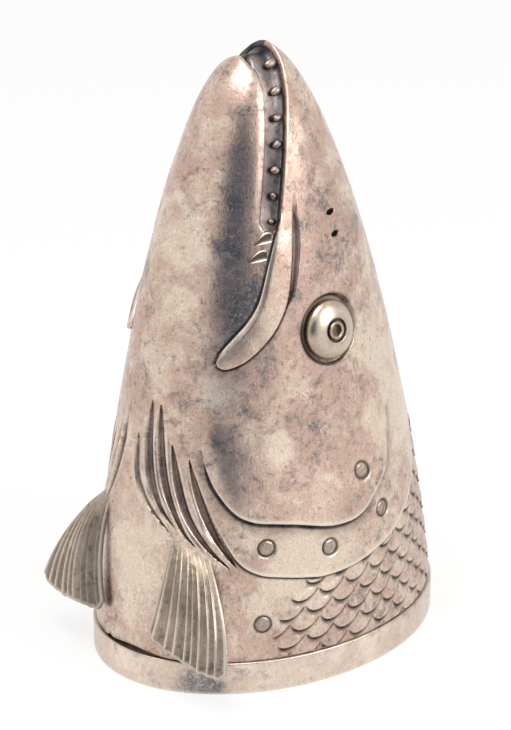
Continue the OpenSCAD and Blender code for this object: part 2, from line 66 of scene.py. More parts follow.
# Slope of that line: three times the steps between its pulls, weighted by (1 - s)^2, 2s(1 - s) and s^2.
def slopeAt(pulls, s):
    return 3*((pulls[1] - pulls[0])*(1 - s)**2 + 2*(pulls[2] - pulls[1])*s*(1 - s) + (pulls[3] - pulls[2])*s**2)


allShares = np.linspace(0, 1, 6001)
allHeights = lineAt(headLines["height"], allShares)


# Share of the lines at which a height is reached: the height line read backwards.
def shareAt(z):
    return np.interp(z, allHeights, allShares)


# Height at share s: the height line itself.
def heightAt(s):
    return lineAt(headLines["height"], s)


# Oval section at share s: half the width, half of back less belly, and the middle between them.
def ovalAt(s):
    side, back, belly = (lineAt(headLines[k], s) for k in ("side", "back", "belly"))
    return side, (back - belly)/2, (back + belly)/2


# Point of the head: oval section at share s and angle a, pushed out along the normal by lift.
def skin(s, a, lift=0.0):
    s, a, lift = np.broadcast_arrays(np.asarray(s, float), np.radians(a), np.asarray(lift, float))
    side, deep, middle = ovalAt(s)
    dSide, dBack, dBelly, dHeight = (slopeAt(headLines[k], s) for k in ("side", "back", "belly", "height"))
    point = np.stack([side*np.cos(a), middle + deep*np.sin(a), heightAt(s)], -1)
    along = np.stack([-side*np.sin(a), deep*np.cos(a), 0*s], -1)
    rise = np.stack([dSide*np.cos(a), (dBack + dBelly)/2 + (dBack - dBelly)/2*np.sin(a), dHeight], -1)
    normal = np.cross(along, rise)
    normal /= np.linalg.norm(normal, axis=-1, keepdims=True)
    return point + lift[..., None]*normal


# The same point, by its height before the lift.
def skinZ(z, a, lift=0.0):
    return skin(shareAt(z), a, lift)


# Length on the skin of one degree round the head: the oval's speed at that angle.
def turnLength(s, a):
    side, deep, _ = ovalAt(s)
    return np.hypot(side*np.sin(np.radians(a)), deep*np.cos(np.radians(a)))*math.pi/180


# Angle round the head of any point near it, read from the oval at its height.
def angleOf(points):
    side, deep, middle = ovalAt(shareAt(np.clip(points[:, 2], allHeights[0], noseHeight - 0.01)))
    return np.degrees(np.arctan2((points[:, 1] - middle)/deep, points[:, 0]/side))


# Angle brought into the turn from -180 to 180.
def wrapped(a):
    return (a + 180) % 360 - 180


# Angle folded to the left side, so that both sides carry the same chasing.
def folded(a):
    return np.where(a > 90, 180 - a, a)


# Ramp from 0 to 1 with level ends: 3x^2 - 2x^3.
def smooth(x):
    x = np.clip(x, 0, 1)
    return x*x*(3 - 2*x)


# That ramp from a start over a width.
def ramp(x, start, width):
    return smooth((x - start)/width)


# The ramp turned round: 1 before the start, 0 past the width.
def fade(x, start, width):
    return 1 - ramp(x, start, width)


# Bell that is 1 in the middle and near 0 past two widths: e to the minus square of x over the width.
def bell(x, width):
    return np.exp(-(x/width)**2)


# Drop of a rounded edge of radius r at distance d from the edge: a quarter circle.
def roundDrop(d, r):
    return -(r - np.sqrt(np.maximum(r*r - (r - np.clip(d, 0, r))**2, 0)))


# Repeatable scatter from 0 to 1 for whole numbers i and j: the tail of a large sine.
def scatter(i, j):
    x = np.sin(i*12.9898 + j*78.233)*43758.5453
    return x - np.floor(x)


# Smooth line through a few points: cubic spans whose end slopes are half the step between neighbours.
def curveThrough(points, t):
    p = np.asarray(points, float)
    x = np.clip(t, 0, 1)*(len(p) - 1)
    k = np.minimum(x.astype(int), len(p) - 2)
    f = (x - k)[..., None]
    slope = np.gradient(p, axis=0)
    return ((1 + 2*f)*(1 - f)**2*p[k] + f*(1 - f)**2*slope[k]
            + f**2*(3 - 2*f)*p[k + 1] + f**2*(f - 1)*slope[k + 1])


# Distance on the skin from a line of angle and height: to the nearest of its samples, with samples near
# its two ends counted as farther, so that what follows the line tapers out.
def lineDistance(f, z, s, points, taper=(0.0, 0.0), count=150):
    turn = turnLength(s, f)
    nearest = np.full(np.broadcast(f, z).shape, 99.0)
    t = np.linspace(0, 1, count)
    farther = sum(1 - smooth(x/max(share, 1e-6)) for x, share in ((t, taper[0]), (1 - t, taper[1])))
    for (angle, height), more in zip(curveThrough(points, t), farther):
        nearest = np.minimum(nearest, np.hypot((f - angle)*turn, z - height) + more)
    return nearest


# Oxide and painted shadow gathered beside an applied edge: full up to a distance from its line, then fading.
def oxideAndShadowBeside(f, z, s, line, taper, dark=0.95, near=0.3, over=0.6):
    return dark*fade(lineDistance(f, z, s, line, taper), near, over)


# Four corners of every cell of a grid of point numbers.
def gridFaces(index):
    return np.stack([index[:-1, :-1], index[:-1, 1:], index[1:, 1:], index[1:, :-1]], -1).reshape(-1, 4)


# A grid of points as a shape, one face a cell.
def gridShape(points):
    rows, cols = points.shape[:2]
    return points.reshape(-1, 3), gridFaces(np.arange(rows*cols).reshape(rows, cols)).tolist()


# Faces from a run of outer points to the fewer inner points behind it.
def joinEdges(outerLine, innerLine):
    step = (len(outerLine) - 1)//(len(innerLine) - 1)
    k = np.arange(len(innerLine) - 1)
    return np.concatenate([outerLine[k[:, None]*step + np.arange(step + 1)],
                           innerLine[k + 1][:, None], innerLine[k][:, None]], 1)


# Closed wall between an outer grid and an inner grid that keeps every step-th point; below row
# openFrom the first and last columns are one line, so no edge is made there.
def closedPlate(outer, inner, step=1, openFrom=0):
    rows, cols = outer.shape[:2]
    inner = inner[::step, ::step]
    upper = np.arange(rows*cols).reshape(rows, cols)
    under = rows*cols + np.arange(inner.shape[0]*inner.shape[1]).reshape(inner.shape[:2])
    low = openFrom//step
    faces = gridFaces(upper).tolist() + gridFaces(under)[:, ::-1].tolist()
    for outerLine, innerLine in ((upper[0, ::-1], under[0, ::-1]), (upper[-1], under[-1]),
                                 (upper[openFrom:, 0], under[low:, 0]),
                                 (upper[openFrom:, -1][::-1], under[low:, -1][::-1])):
        faces += joinEdges(outerLine, innerLine).tolist()
    return np.concatenate([outer.reshape(-1, 3), inner.reshape(-1, 3)]), faces


# A shape with its marks: values on the outer grid, then zeros for the points that follow it.
def withMarks(shape, **marks):
    count = len(shape[0])
    return shape, {k: np.concatenate([np.ravel(v), np.zeros(count - np.size(v))]) for k, v in marks.items()}


# Several marked shapes as one: point numbers go on from shape to shape.
def joined(parts):
    starts = np.cumsum([0] + [len(points) for (points, _), _ in parts])
    faces = [[v + start for v in face] for ((_, cells), _), start in zip(parts, starts) for face in cells]
    marks = {k: np.concatenate([made[k] for _, made in parts]) for k in parts[0][1]}
    return (np.concatenate([points for (points, _), _ in parts]), faces), marks


stainsAndShade = {  # patches of the old surface and of painted shade and light: angle, height, radius and strength
    # dark: the jaw's stripe is a painted reflection of the dark room, patches by lip bone and fins painted shadow
    "dark": ((-43, 65, 6, 0.1), (-52, 54, 5, 0.15), (-38, 62, 3, 0.3), (-18, 57, 5, 0.3), (-32, 70, 6, 0.35),
             (-10, 84, 5, 0.3), (8, 93, 6, 0.35), (5, 104, 8, 0.2), (-45, 118, 3, 0.4), (-48, 111, 4, 0.5),
             (-49, 102, 4, 0.7), (-50, 93, 5, 0.75), (-50, 83, 5, 0.8), (-31, 89, 2.5, 0.7), (-35, 84, 3, 0.8),
             (-42, 79, 3, 0.8), (-50, 75, 3, 0.5), (5, 60, 8, 0.2), (-20, 47, 8, 0.15), (-107, 35, 3, 0.5),
             (-104, 29, 3, 0.5), (-102, 23, 3, 0.5), (-103, 17, 3, 0.4), (-79, 28, 4, 0.2), (-46, 26, 3, 0.2),
             (-54, 3, 5, 1.0), (-60, 2, 4, 0.6), (12, 40, 4, 0.2), (130, 70, 14, 0.4), (200, 50, 12, 0.4),
             (-130, 78, 12, 0.4)),
    # pale: lighter tarnish, and at angle 39, height 104 a painted highlight
    "pale": ((-27, 52, 3, 1.0), (-54, 64, 3, 0.6), (-92, 26, 10, 0.8), (-21, 28, 9, 0.7), (-85, 90, 14, 0.4),
             (35, 50, 10, 0.6), (39, 104, 6, 0.45), (30, 66, 9, 0.4), (160, 40, 10, 0.5), (-40, 14, 6, 0.2)),
}


# Amount of dark or pale stain, with its painted shade and highlight, at points: a sum of bells in distance
# round and up the head.
def stainAndShadeAt(points, kind):
    a, z, total = angleOf(points), points[:, 2], np.zeros(len(points))
    for angle, height, radius, strength in stainsAndShade[kind]:
        reach = turnLength(shareAt(height), angle)
        total += strength*bell(np.hypot(wrapped(a - angle)*reach, z - height), radius)
    return np.clip(total, 0, 1)


# New mesh at the origin, doubles merged, riding on the one body in place of its CAD nodes.
def addPiece(name, made, finish, nodes, mirror=False):
    (points, faces), marks = made
    if mirror:
        points, faces = points*(-1, 1, 1), [face[::-1] for face in faces]
    mesh = bpy.data.meshes.new(name)
    mesh.from_pydata((points*mm).tolist(), [], faces)
    marks = {"darkStainAndShade": stainAndShadeAt(points, "dark"), "paleStainAndHighlight": stainAndShadeAt(points, "pale"), **marks}
    for key, values in marks.items():
        layer = mesh.attributes.new(key, "FLOAT", "POINT")
        layer.data.foreach_set("value", np.asarray(values, np.float32))
    work = bmesh.new()
    work.from_mesh(mesh)
    bmesh.ops.remove_doubles(work, verts=work.verts, dist=0.001*mm)
    work.to_mesh(mesh)
    work.free()
    mesh.polygons.foreach_set("use_smooth", np.ones(len(mesh.polygons), bool))
    mesh.set_sharp_from_angle(angle=math.radians(60))
    mesh.materials.append(finish)
    piece = bpy.data.objects.new(name, mesh)
    bpy.context.scene.collection.objects.link(piece)
    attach(piece, "root")
    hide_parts(*nodes)
    return piece


# sRGB hex to linear light, with alpha.
def linear(hexColour):
    parts = [int(hexColour[k:k + 2], 16)/255 for k in (1, 3, 5)]
    return tuple(c/12.92 if c <= 0.04045 else ((c + 0.055)/1.055)**2.4 for c in parts) + (1.0,)


# Adds a node and gives one of its outputs: settings are its own choices, inputs are numbers, colours
# or another node's output.
def addNode(tree, kind, inputs=None, out=0, **settings):
    made = tree.nodes.new("ShaderNode" + kind)
    for key, value in settings.items():
        setattr(made, key, value)
    for key, value in (inputs or {}).items():
        if isinstance(value, bpy.types.NodeSocket):
            tree.links.new(value, made.inputs[key])
        else:
            made.inputs[key].default_value = value
    return made.outputs[out] if made.outputs else made


# Pattern scale from a real size in millimetres: one over the size in metres.
def perMetre(size):
    return 1/(size*mm)


patina = {"pale": (0.42, 0.68), "dull": (0.52, 0.84), "heart": (0.72, 1.05), "pit": (0.55, 0.66),  # start and full
          "stainAndShadeInClouds": 0.3, "stainAndShadeInPatches": -0.45, "stainAndShadeInPits": -0.08,
          "scratchWide": 0.4, "scratchLong": 1.8, "scratchLeans": (0.3, -0.8), "bumpDeep": 0.08}


# Old silver: metal under uneven patina, so clouds of pale and tan, mauve patches with torn edges and grey
# hearts, dark pits, fine scratches both ways, black oxide in every chased line and bright metal where hands
# rub the edges. The oxide also carries painted shade, and the stains that move the clouds painted shade and
# highlights. Each layer is a colour mixed over the ones before by its share, or a number that scales them.
def makeSilver(name, look):
    material = bpy.data.materials.new(name)
    material.use_nodes = True
    tree = material.node_tree
    tree.nodes.clear()
    place = addNode(tree, "TexCoord", out="Object")
    oxide, rubbed, darkStainAndShade, paleStainAndHighlight = (addNode(tree, "Attribute", out="Fac", attribute_name=k)
                                           for k in ("oxide", "rubbed", "darkStainAndShade", "paleStainAndHighlight"))
    clouds, mottle, speck, pits = (
        addNode(tree, "TexNoise", {"Vector": place, "Scale": perMetre(look[size]), "Detail": detail,
                                   "Roughness": 0.74, "Distortion": bend}, "Fac")
        for size, detail, bend in (("cloudSize", 6.0, 0.4), ("mottleSize", 8.0, 0.3), ("speckSize", 3.0, 0.8),
                                   ("pitSize", 5.0, 0.3)))
    # clouds, thick patches and pits, all moved by the listed stains with their painted shade and highlight
    shift = addNode(tree, "Math", {0: paleStainAndHighlight, 1: darkStainAndShade}, operation="SUBTRACT")
    broken = addNode(tree, "MapRange", {"Value": mottle, "From Min": 0.3, "From Max": 0.7})
    cloudy, thick, deep = (
        addNode(tree, "Math", {0: shift, 1: patina[much], 2: noise}, operation="MULTIPLY_ADD")
        for much, noise in (("stainAndShadeInClouds", clouds), ("stainAndShadeInPatches", broken), ("stainAndShadeInPits", pits)))
    pale, dull, heart, pit = (
        addNode(tree, "MapRange", {"Value": value, "From Min": patina[key][0], "From Max": patina[key][1],
                                   "To Max": most}, interpolation_type="SMOOTHSTEP")
        for key, value, most in (("pale", cloudy, 1.0), ("dull", thick, look["dulling"]),
                                 ("heart", thick, look["dulling"]), ("pit", deep, look["pitting"])))
    # fine wear: pale wandering lines where a noise crosses its middle, seen most where the patina is thick
    web = 0.0
    for size in (look["wearSize"], 1.7*look["wearSize"]):
        wander = addNode(tree, "TexNoise", {"Vector": place, "Scale": perMetre(size), "Detail": 2.0,
                                            "Distortion": 1.0}, "Fac")
        crossing = addNode(tree, "Math", {0: wander, 1: 0.5, 2: 0.014}, operation="COMPARE")
        web = addNode(tree, "Math", {0: web, 1: crossing}, operation="MAXIMUM")
    worn = addNode(tree, "Math", {0: dull, 1: look["wear"], 2: 0.04}, operation="MULTIPLY_ADD")
    web = addNode(tree, "Math", {0: web, 1: worn}, operation="MULTIPLY")
    # scratches, drawn 0.4 mm wide since real ones are too fine to show: long noise, upright and leaning
    hatch = 0.0
    size = tuple(perMetre(patina[k]) for k in ("scratchWide", "scratchWide", "scratchLong"))
    for lean in patina["scratchLeans"]:
        leaning = addNode(tree, "Mapping", {"Vector": place, "Rotation": (lean, lean*0.7, 0.0), "Scale": size},
                          vector_type="POINT")
        lines = addNode(tree, "TexNoise", {"Vector": leaning, "Scale": 1.0, "Detail": 2.0}, "Fac")
        hatch = addNode(tree, "Math", {0: hatch, 1: lines}, operation="ADD")
    fleck, scratch = (
        addNode(tree, "MapRange", {"Value": value, "From Min": low, "From Max": high, "To Min": 1 - much,
                                   "To Max": 1 + much})
        for value, low, high, much in ((speck, 0.3, 0.7, look["specks"]), (hatch, 0.75, 1.25, look["scratch"])))
    # oxide in the lines with the painted shade it carries, then metal where it is rubbed
    rough = addNode(tree, "Math", {0: mottle, 1: 0.6, 2: 0.75}, operation="MULTIPLY_ADD")
    black = addNode(tree, "Math", {0: oxide, 1: rough}, operation="MULTIPLY", use_clamp=True)
    shine = addNode(tree, "Math", {0: rubbed, 1: 0.8}, operation="MULTIPLY", use_clamp=True)
    body = linear(look["mid"])
    for layer, colour in ((pale, "pale"), (dull, "dull"), (heart, "heart"), (fleck, None), (pit, "pit"),
                          (web, "pale"), (scratch, None), (black, "oxide"), (shine, "rub")):
        if colour:
            body = addNode(tree, "Mix", {0: layer, 6: body, 7: linear(look[colour])}, 2, data_type="RGBA")
        else:
            body = addNode(tree, "VectorMath", {0: body, "Scale": layer}, operation="SCALE")
    # duller where thick or black, with pits and scratches in the bump
    grain = addNode(tree, "MapRange", {"Value": mottle, "From Min": 0.3, "From Max": 0.75,
                                       "To Min": look["smoothest"], "To Max": look["roughest"]})
    grain = addNode(tree, "Math", {0: black, 1: 0.3, 2: grain}, operation="MULTIPLY_ADD", use_clamp=True)
    relief = addNode(tree, "Math", {0: pit, 1: -0.6, 2: hatch}, operation="MULTIPLY_ADD")
    bump = addNode(tree, "Bump", {"Height": relief, "Strength": look["bump"], "Distance": patina["bumpDeep"]*mm})
    shader = addNode(tree, "BsdfPrincipled", {"Base Color": body, "Metallic": 1.0, "Roughness": grain,
                                              "Normal": bump})
    addNode(tree, "OutputMaterial", {"Surface": shader})
    return material


oldSilver = {"mid": "#c7aa9b", "pale": "#e2d0bd", "dull": "#97827c", "heart": "#60676e", "pit": "#6c5d59",
             "oxide": "#282b2f", "rub": "#efe4d6", "cloudSize": 8, "mottleSize": 4.5, "speckSize": 0.45,
             "pitSize": 1.1, "wearSize": 1.0, "wear": 0.5, "dulling": 0.9, "specks": 0.2, "pitting": 0.6,
             "scratch": 0.05, "smoothest": 0.22, "roughest": 0.38, "bump": 0.3}
raisedSilver = makeSilver("raised_silver_tarnished", oldSilver)  # all the patina, on planished sheet
bandSilver = makeSilver("drawn_band_silver_worn", dict(  # handled most: pale, with few pits
    oldSilver, mid="#d6c1b1", pale="#f0dfce", dull="#a99a97", dulling=0.8, specks=0.07, pitting=0.2,
    cloudSize=16, mottleSize=8, smoothest=0.24, roughest=0.34))
castSilver = makeSilver("cast_silver_chased", dict(  # browner and duller, with a fine grain
    oldSilver, mid="#b3a08f", pale="#d2bfa9", dull="#85776d", pitting=0.4, mottleSize=2.2, smoothest=0.28,
    roughest=0.42))
eyeSilver = makeSilver("turned_silver_polished", dict(  # clean and bright, hardly pitted
    oldSilver, mid="#a8937e", pale="#c7b19a", dull="#92806f", dulling=0.5, pitting=0.2, wear=0.2,
    smoothest=0.24, roughest=0.34, bump=0.1))
mouthSilver = makeSilver("sheet_silver_oxidised", dict(  # cold grey, never polished; rubbing shows brown
    oldSilver, mid="#a59d9c", pale="#bcb1a9", dull="#807d7e", heart="#585c62", pit="#4a4340", oxide="#30343a",
    rub="#3f2f27", mottleSize=2.0, smoothest=0.28, roughest=0.48))
toothSilver = makeSilver("cast_silver_browned", dict(  # small castings, brown where the cloth can't reach
    oldSilver, mid="#98867b", pale="#bdab9c", dull="#6f645f", mottleSize=1.6, smoothest=0.3, roughest=0.42))
print("stage: silver finishes made")

mouth = {"gap": 5.1, "low": 95.0, "y": -1.9, "tilt": 15.6, "depth": 3.2, "jawBack": 80.0, "jawThroat": 62.0,
         "roll": 0.1, "rollWidth": 1.5, "edgeRound": 0.45, "room": 0.02,
         "over": ((95, 1.4), (97.6, 1.65), (103, 1.5), (112, 1.25), (121, 0.45), (126, 0.1))}  # upper lip's overhang
tilt = math.radians(mouth["tilt"])


# Seam of the jaw in depth: along the mouth line, then straight down to the throat.
def seamY(z):
    along = mouth["y"] + (z - noseHeight)*math.tan(tilt)
    backY = mouth["y"] + (mouth["jawBack"] - noseHeight)*math.tan(tilt)
    throatY = lineAt(headLines["belly"], shareAt(mouth["jawThroat"]))
    slant = backY + (z - mouth["jawBack"])*(backY - throatY)/(mouth["jawBack"] - mouth["jawThroat"])
    return np.where(z > mouth["jawBack"], along, slant)


# Angle of a lip, way 1 for the upper and -1 for the lower: the seam, opened to half the gap with a round end;
# the upper lip hangs a little way over the gap.
def lipAngle(s, way):
    half, z = mouth["gap"]/2, heightAt(s)
    opened = half*np.sqrt(1 - (1 - np.clip((z - mouth["low"])/half, 0, 1))**2)
    if way > 0:
        opened = np.maximum(opened - np.interp(z, *zip(*mouth["over"])), 0)
    _, deep, middle = ovalAt(s)
    y = seamY(z) + way*(opened + mouth["room"])/math.cos(tilt)
    return np.degrees(np.arcsin(np.clip((y - middle)/np.maximum(deep, 0.01), -1, 1)))


# Lift beside a lip at distance d from its edge: a soft roll, then a rounded edge.
def lipLift(d, s):
    there = ramp(heightAt(s), mouth["low"] - 2, 5)
    roll = mouth["roll"]*ramp(noseHeight, heightAt(s), 8)
    return there*(roll*bell(d, mouth["rollWidth"]) + roundDrop(d, mouth["edgeRound"]))


planishing = {"depth": 0.05, "fine": 0.6}


# Uneven planishing: slow crossed waves in height and in the sine of the angle, alike on both sides.
def hammered(a, z):
    q = np.sin(np.radians(a))
    slow, quick = np.sin(9*q + z*0.09)*np.sin(z*0.17 - 4*q), np.sin(17*q + 1.7)*np.sin(z*0.31 + 5*q)
    return planishing["depth"]*(slow + planishing["fine"]*quick)


# Chased groove along a falling line of angle and height: how deep (0 to 1), with both ends drawn to points,
# and the distance across it.
def chasedLine(f, z, s, points, half, fullness=0.8):
    line = curveThrough(points, np.linspace(0, 1, 80))[::-1]
    mid = np.interp(z, line[:, 1], line[:, 0])
    lean = np.interp(z, line[:, 1], np.gradient(line[:, 0], line[:, 1]))
    down = np.clip((line[-1, 1] - z)/(line[-1, 1] - line[0, 1]), 0, 1)
    turn = turnLength(s, f)
    across = (f - mid)*turn/np.sqrt(1 + (lean*turn)**2)
    wide = half*np.sin(math.pi*down**fullness)**0.6
    return np.clip(1 - (across/np.maximum(wide, 0.02))**2, 0, 1)*smooth(wide/0.15), across


lipBone = {  # angle and height along its two sides, lip end first
    "back": ((-11.8, 103.2), (-12.7, 100.2), (-14.0, 97.4), (-15.2, 93.5), (-17.2, 88.5), (-20.5, 82), (-26.2, 77),
             (-33, 73.4), (-41, 70.4), (-49, 68.9), (-53.5, 69.3)),
    "front": ((-17.8, 103.2), (-19.8, 100.2), (-21.6, 97.6), (-25.6, 94), (-30, 88.8), (-35, 82), (-40.3, 78.3),
              (-45.5, 75.8), (-50.5, 73.4), (-53.2, 71.8), (-54.4, 70.4)),
    "height": 1.0, "topSink": 0.14, "length": 34,
}
gillCover = {
    "edge": ((-63.4, 50.2), (-60, 46.4), (-55.7, 41.3), (-47.8, 33), (-42.5, 28.5), (-35.6, 25.9), (-27, 24.7),
             (-18.5, 23.7), (-13, 23.2), (-3.4, 23.4), (6.4, 24.5), (17.8, 26.6), (29, 30.3), (38, 34.4), (47, 39.3),
             (54, 44.3), (58, 49.2), (60.5, 54)),
    "top": ((-62.6, 52.5), (-58.5, 53), (-53, 51), (-46, 45.5), (-41, 43), (-35, 41.5), (-27, 40.5), (-18.5, 39.5),
            (-13, 39), (-3.4, 39), (4, 41), (12, 45.5), (20, 50.5), (28, 55), (37, 58.5), (46, 60), (53, 60),
            (58.5, 58.5)),
    "height": 0.95, "grid": (481, 73),
    "left": (-67, 30), "right": (-60, 30), "rear": (61, 32),  # where each end starts, and the degrees it rises over
}
cheekPlate = {
    "edge": ((-58.4, 51.5), (-56, 48.4), (-52, 44.3), (-44.6, 39.5), (-37.6, 37.4), (-28.9, 36.5), (-21.9, 35.7),
             (-12.2, 34.1), (-6.4, 33.6), (-0.5, 33.7), (4.5, 34.9), (9, 37.2), (15.3, 40.5), (19.5, 43.5), (24, 48),
             (27, 53)),
    "top": ((-58.6, 54), (-58, 57), (-54, 59.5), (-46, 61.5), (-38, 62.5), (-29, 62.8), (-22, 62.8), (-12, 62.5),
            (-6, 62.2), (-0.5, 62), (5, 61.7), (10, 61.2), (16, 60.5), (20, 59.5), (24.5, 58), (27.5, 56.5)),
    "height": 1.8, "grid": (241, 121), "left": (-62, 20), "right": (-50, 24), "rear": (27.5, 14),
}
gillRays = {  # angle and height down each ray, and half its width
    "depth": 0.8, "ridge": 0.22, "low": 23.5, "high": 64.0, "rows": 157, "border": 10.0, "sunk": 1.1, "dark": 0.62,
    "lines": ((((-92, 53), (-89.7, 45.3), (-83.4, 40.3), (-70.2, 34.4)), 0.75),
              (((-85.5, 60.5), (-84, 51.4), (-81.6, 45.4), (-76.6, 40.2), (-67.5, 35.3)), 1.05),
              (((-80, 60), (-77.6, 52.1), (-73, 43.1), (-64.7, 35.3), (-59, 32)), 1.0),
              (((-72, 52.5), (-68.2, 45.2), (-62.9, 38.2), (-55.2, 32.4), (-46, 27.4)), 0.9),
              (((-63.4, 50.2), (-60.2, 44.9), (-56.1, 39.3), (-50.7, 33.6), (-43.6, 27.6)), 0.9)),
}
raysOn = {"left": gillRays["lines"], "right": gillRays["lines"][2:]}
eyeSeat = {"angle": 0.0, "height": 73.7, "groove": 7.4, "depth": 0.95, "lip": 0.03, "dark": 0.5}
nostrils = {"angle": 14.0, "heights": (91.9, 96.4), "half": (1.3, 0.58), "depth": 1.1}
boneGroove = {"line": ((-12.2, 98.4), (-13.2, 93.5), (-15.1, 88.7), (-18.2, 82.6), (-21.5, 80)),
              "half": 1.05, "depth": 0.8, "dark": 0.6}
bandSeam = {"middle": -85.0, "width": 12.0, "rise": 1.15, "notch": -98.5, "line": 0.03, "fade": 7.0, "dark": 0.3}
nape = {"under": 1.2, "most": 47, "start": 52, "low": 45.5, "rise": 3.5, "over": 38}  # upper line of the scales


# Upper line of the scales by folded angle: under the gill cover's edge, then over the nape.
def coatTop(f):
    edge = curveThrough(gillCover["edge"], np.linspace(0, 1, 300))
    under = np.minimum(np.interp(f, edge[:, 0], edge[:, 1]) + nape["under"], nape["most"])
    return np.where(f > nape["start"], nape["low"] + nape["rise"]*ramp(f, nape["start"], nape["over"]), under)


# Rise of the head's lower edge off the band, fading upwards: a hair line, a wedge at the belly, a small notch.
def seamRise(a, z):
    a = wrapped(a)
    wedge = bandSeam["rise"]*bell(wrapped(a - bandSeam["middle"]), bandSeam["width"])
    notch = 0.5*bell(wrapped(a - bandSeam["notch"]), 1.6)
    return (bandSeam["line"]*(1 + 0.5*np.sin(a*0.13)) + wedge + notch)*fade(z, rimHeight, bandSeam["fade"])


# Chasing on the head's skin: lift and oxide from rays, bone groove, eye seat, nostrils and lip, with painted
# shade in the nostrils and inside the nose's far lip.
def headRelief(s, a, edge):
    z, f = heightAt(s), folded(a)
    lift, oxide = hammered(a, z), np.zeros(np.broadcast(s, a).shape)
    for turn, hand in ((wrapped(a), "left"), (wrapped(180 - a), "right")):
        for points, _ in raysOn[hand]:  # sunk under the ray patches
            lift = lift - gillRays["sunk"]*fade(lineDistance(turn, z, s, points), 1.1, 0.8)
    lift = np.maximum(lift, -gillRays["sunk"])
    groove, _ = chasedLine(f, z, s, boneGroove["line"], boneGroove["half"], 0.6)
    lift, oxide = lift - boneGroove["depth"]*groove, np.maximum(oxide, boneGroove["dark"]*smooth(groove*2))
    lift = lift - 0.6*ramp(f, -40, 1.5)*ramp(z, 7.9, 0.8)*ramp(coatTop(f) - 1.5, z, 1.0)  # under the scales
    point = skin(s, a)
    point[..., 0] *= np.where(a > 90, -1, 1)  # both eyes at once
    reach = np.linalg.norm(point - skinZ(eyeSeat["height"], eyeSeat["angle"]), axis=-1) - eyeSeat["groove"]
    sunk = fade(reach, -0.55, 0.6)
    lift = lift*(1 - sunk) - eyeSeat["depth"]*sunk + eyeSeat["lip"]*bell(reach - 0.75, 0.7)
    oxide = np.maximum(oxide, eyeSeat["dark"]*fade(reach, 0.1, 0.45))
    # nostrils: pits painted black as the shade inside a hole
    for height in nostrils["heights"]:
        x = (f - nostrils["angle"])*turnLength(s, f)/nostrils["half"][0]
        hole = fade(np.hypot(x, (z - height)/nostrils["half"][1]), 0.8, 0.25)
        lift, oxide = lift - nostrils["depth"]*hole, np.maximum(oxide, smooth(hole*8))
    for line, taper in ((gillCover["edge"], (0.15, 0.1)), (lipBone["front"], (0.3, 0.0)),
                        (lipBone["back"], (0.3, 0.0))):
        oxide = np.maximum(oxide, oxideAndShadowBeside(f, z, s, line, taper))
    fromLip = np.minimum(a - edge, 180 - edge - a)*turnLength(s, a)
    lipDark = (0.65 - 0.55*ramp(z, 108, 10))*bell(fromLip, 0.4)*ramp(z, mouth["low"], 4)
    farLipShade = 0.8*bell(fromLip, 0.9)*(a > 90)*ramp(z, 116, 6)  # painted shade, black inside the nose's far lip
    return lift + lipLift(fromLip, s), np.maximum(oxide, np.maximum(lipDark, farLipShade))


headGrid = {"rows": ((7.06, 24, 16), (24, 62, 80), (62, 90, 100), (90, 98, 56)),  # heights, and rows between them
            "throat": 96, "noseRows": 41, "flank": 121, "back": 29, "flankShare": 0.27}


# Head with the upper jaw: the skin between the lip, or the belly line, on one side and the other.
def headShape():
    upTip = allShares[lipAngle(allShares, 1) < 89.7].max()
    heights = [np.linspace(low, high, count, endpoint=False) for low, high, count in headGrid["rows"]]
    start = shareAt(headGrid["rows"][-1][1])
    t = np.linspace(0, 1, headGrid["noseRows"])
    s = np.concatenate([shareAt(np.concatenate(heights)), start + (upTip - start)*(1 - (1 - t)**2)])[:, None]
    half = np.concatenate([np.linspace(0, headGrid["flankShare"], headGrid["flank"]),
                           np.linspace(headGrid["flankShare"], 0.5, headGrid["back"])[1:]])
    u = np.concatenate([half, 1 - half[-2::-1]])[None, :]
    edge, z = lipAngle(s, 1), heightAt(s)
    edge[-1], edge[headGrid["throat"]] = 90, -90  # the nose and the throat end in points
    a = edge + u*(180 - 2*edge)
    lift, oxide = headRelief(s, a, edge)
    outer, inner = skin(s, a, lift), skin(s, a, -sheetWall)
    outer[..., 2] += seamRise(a, z)
    inner[..., 2] = np.maximum(inner[..., 2], headGrid["rows"][0][0]) + seamRise(a, z)
    oxide = np.maximum(oxide, bandSeam["dark"]*bell(z - rimHeight, 0.3))
    shape = closedPlate(outer, inner, 4, headGrid["throat"])
    insideShade = 0.9*ramp(shape[0][oxide.size:, 2], mouth["low"], 4)  # painted shade inside the mouth
    return withMarks(shape, oxide=np.concatenate([oxide.ravel(), insideShade]))


chin = {"start": 120.5, "top": 128.3, "curl": 116.5, "drop": 1.0, "under": 1.2, "sink": 0.07, "bevel": 0.36,
        "bevelWidth": 2.0, "grid": (193, 169)}


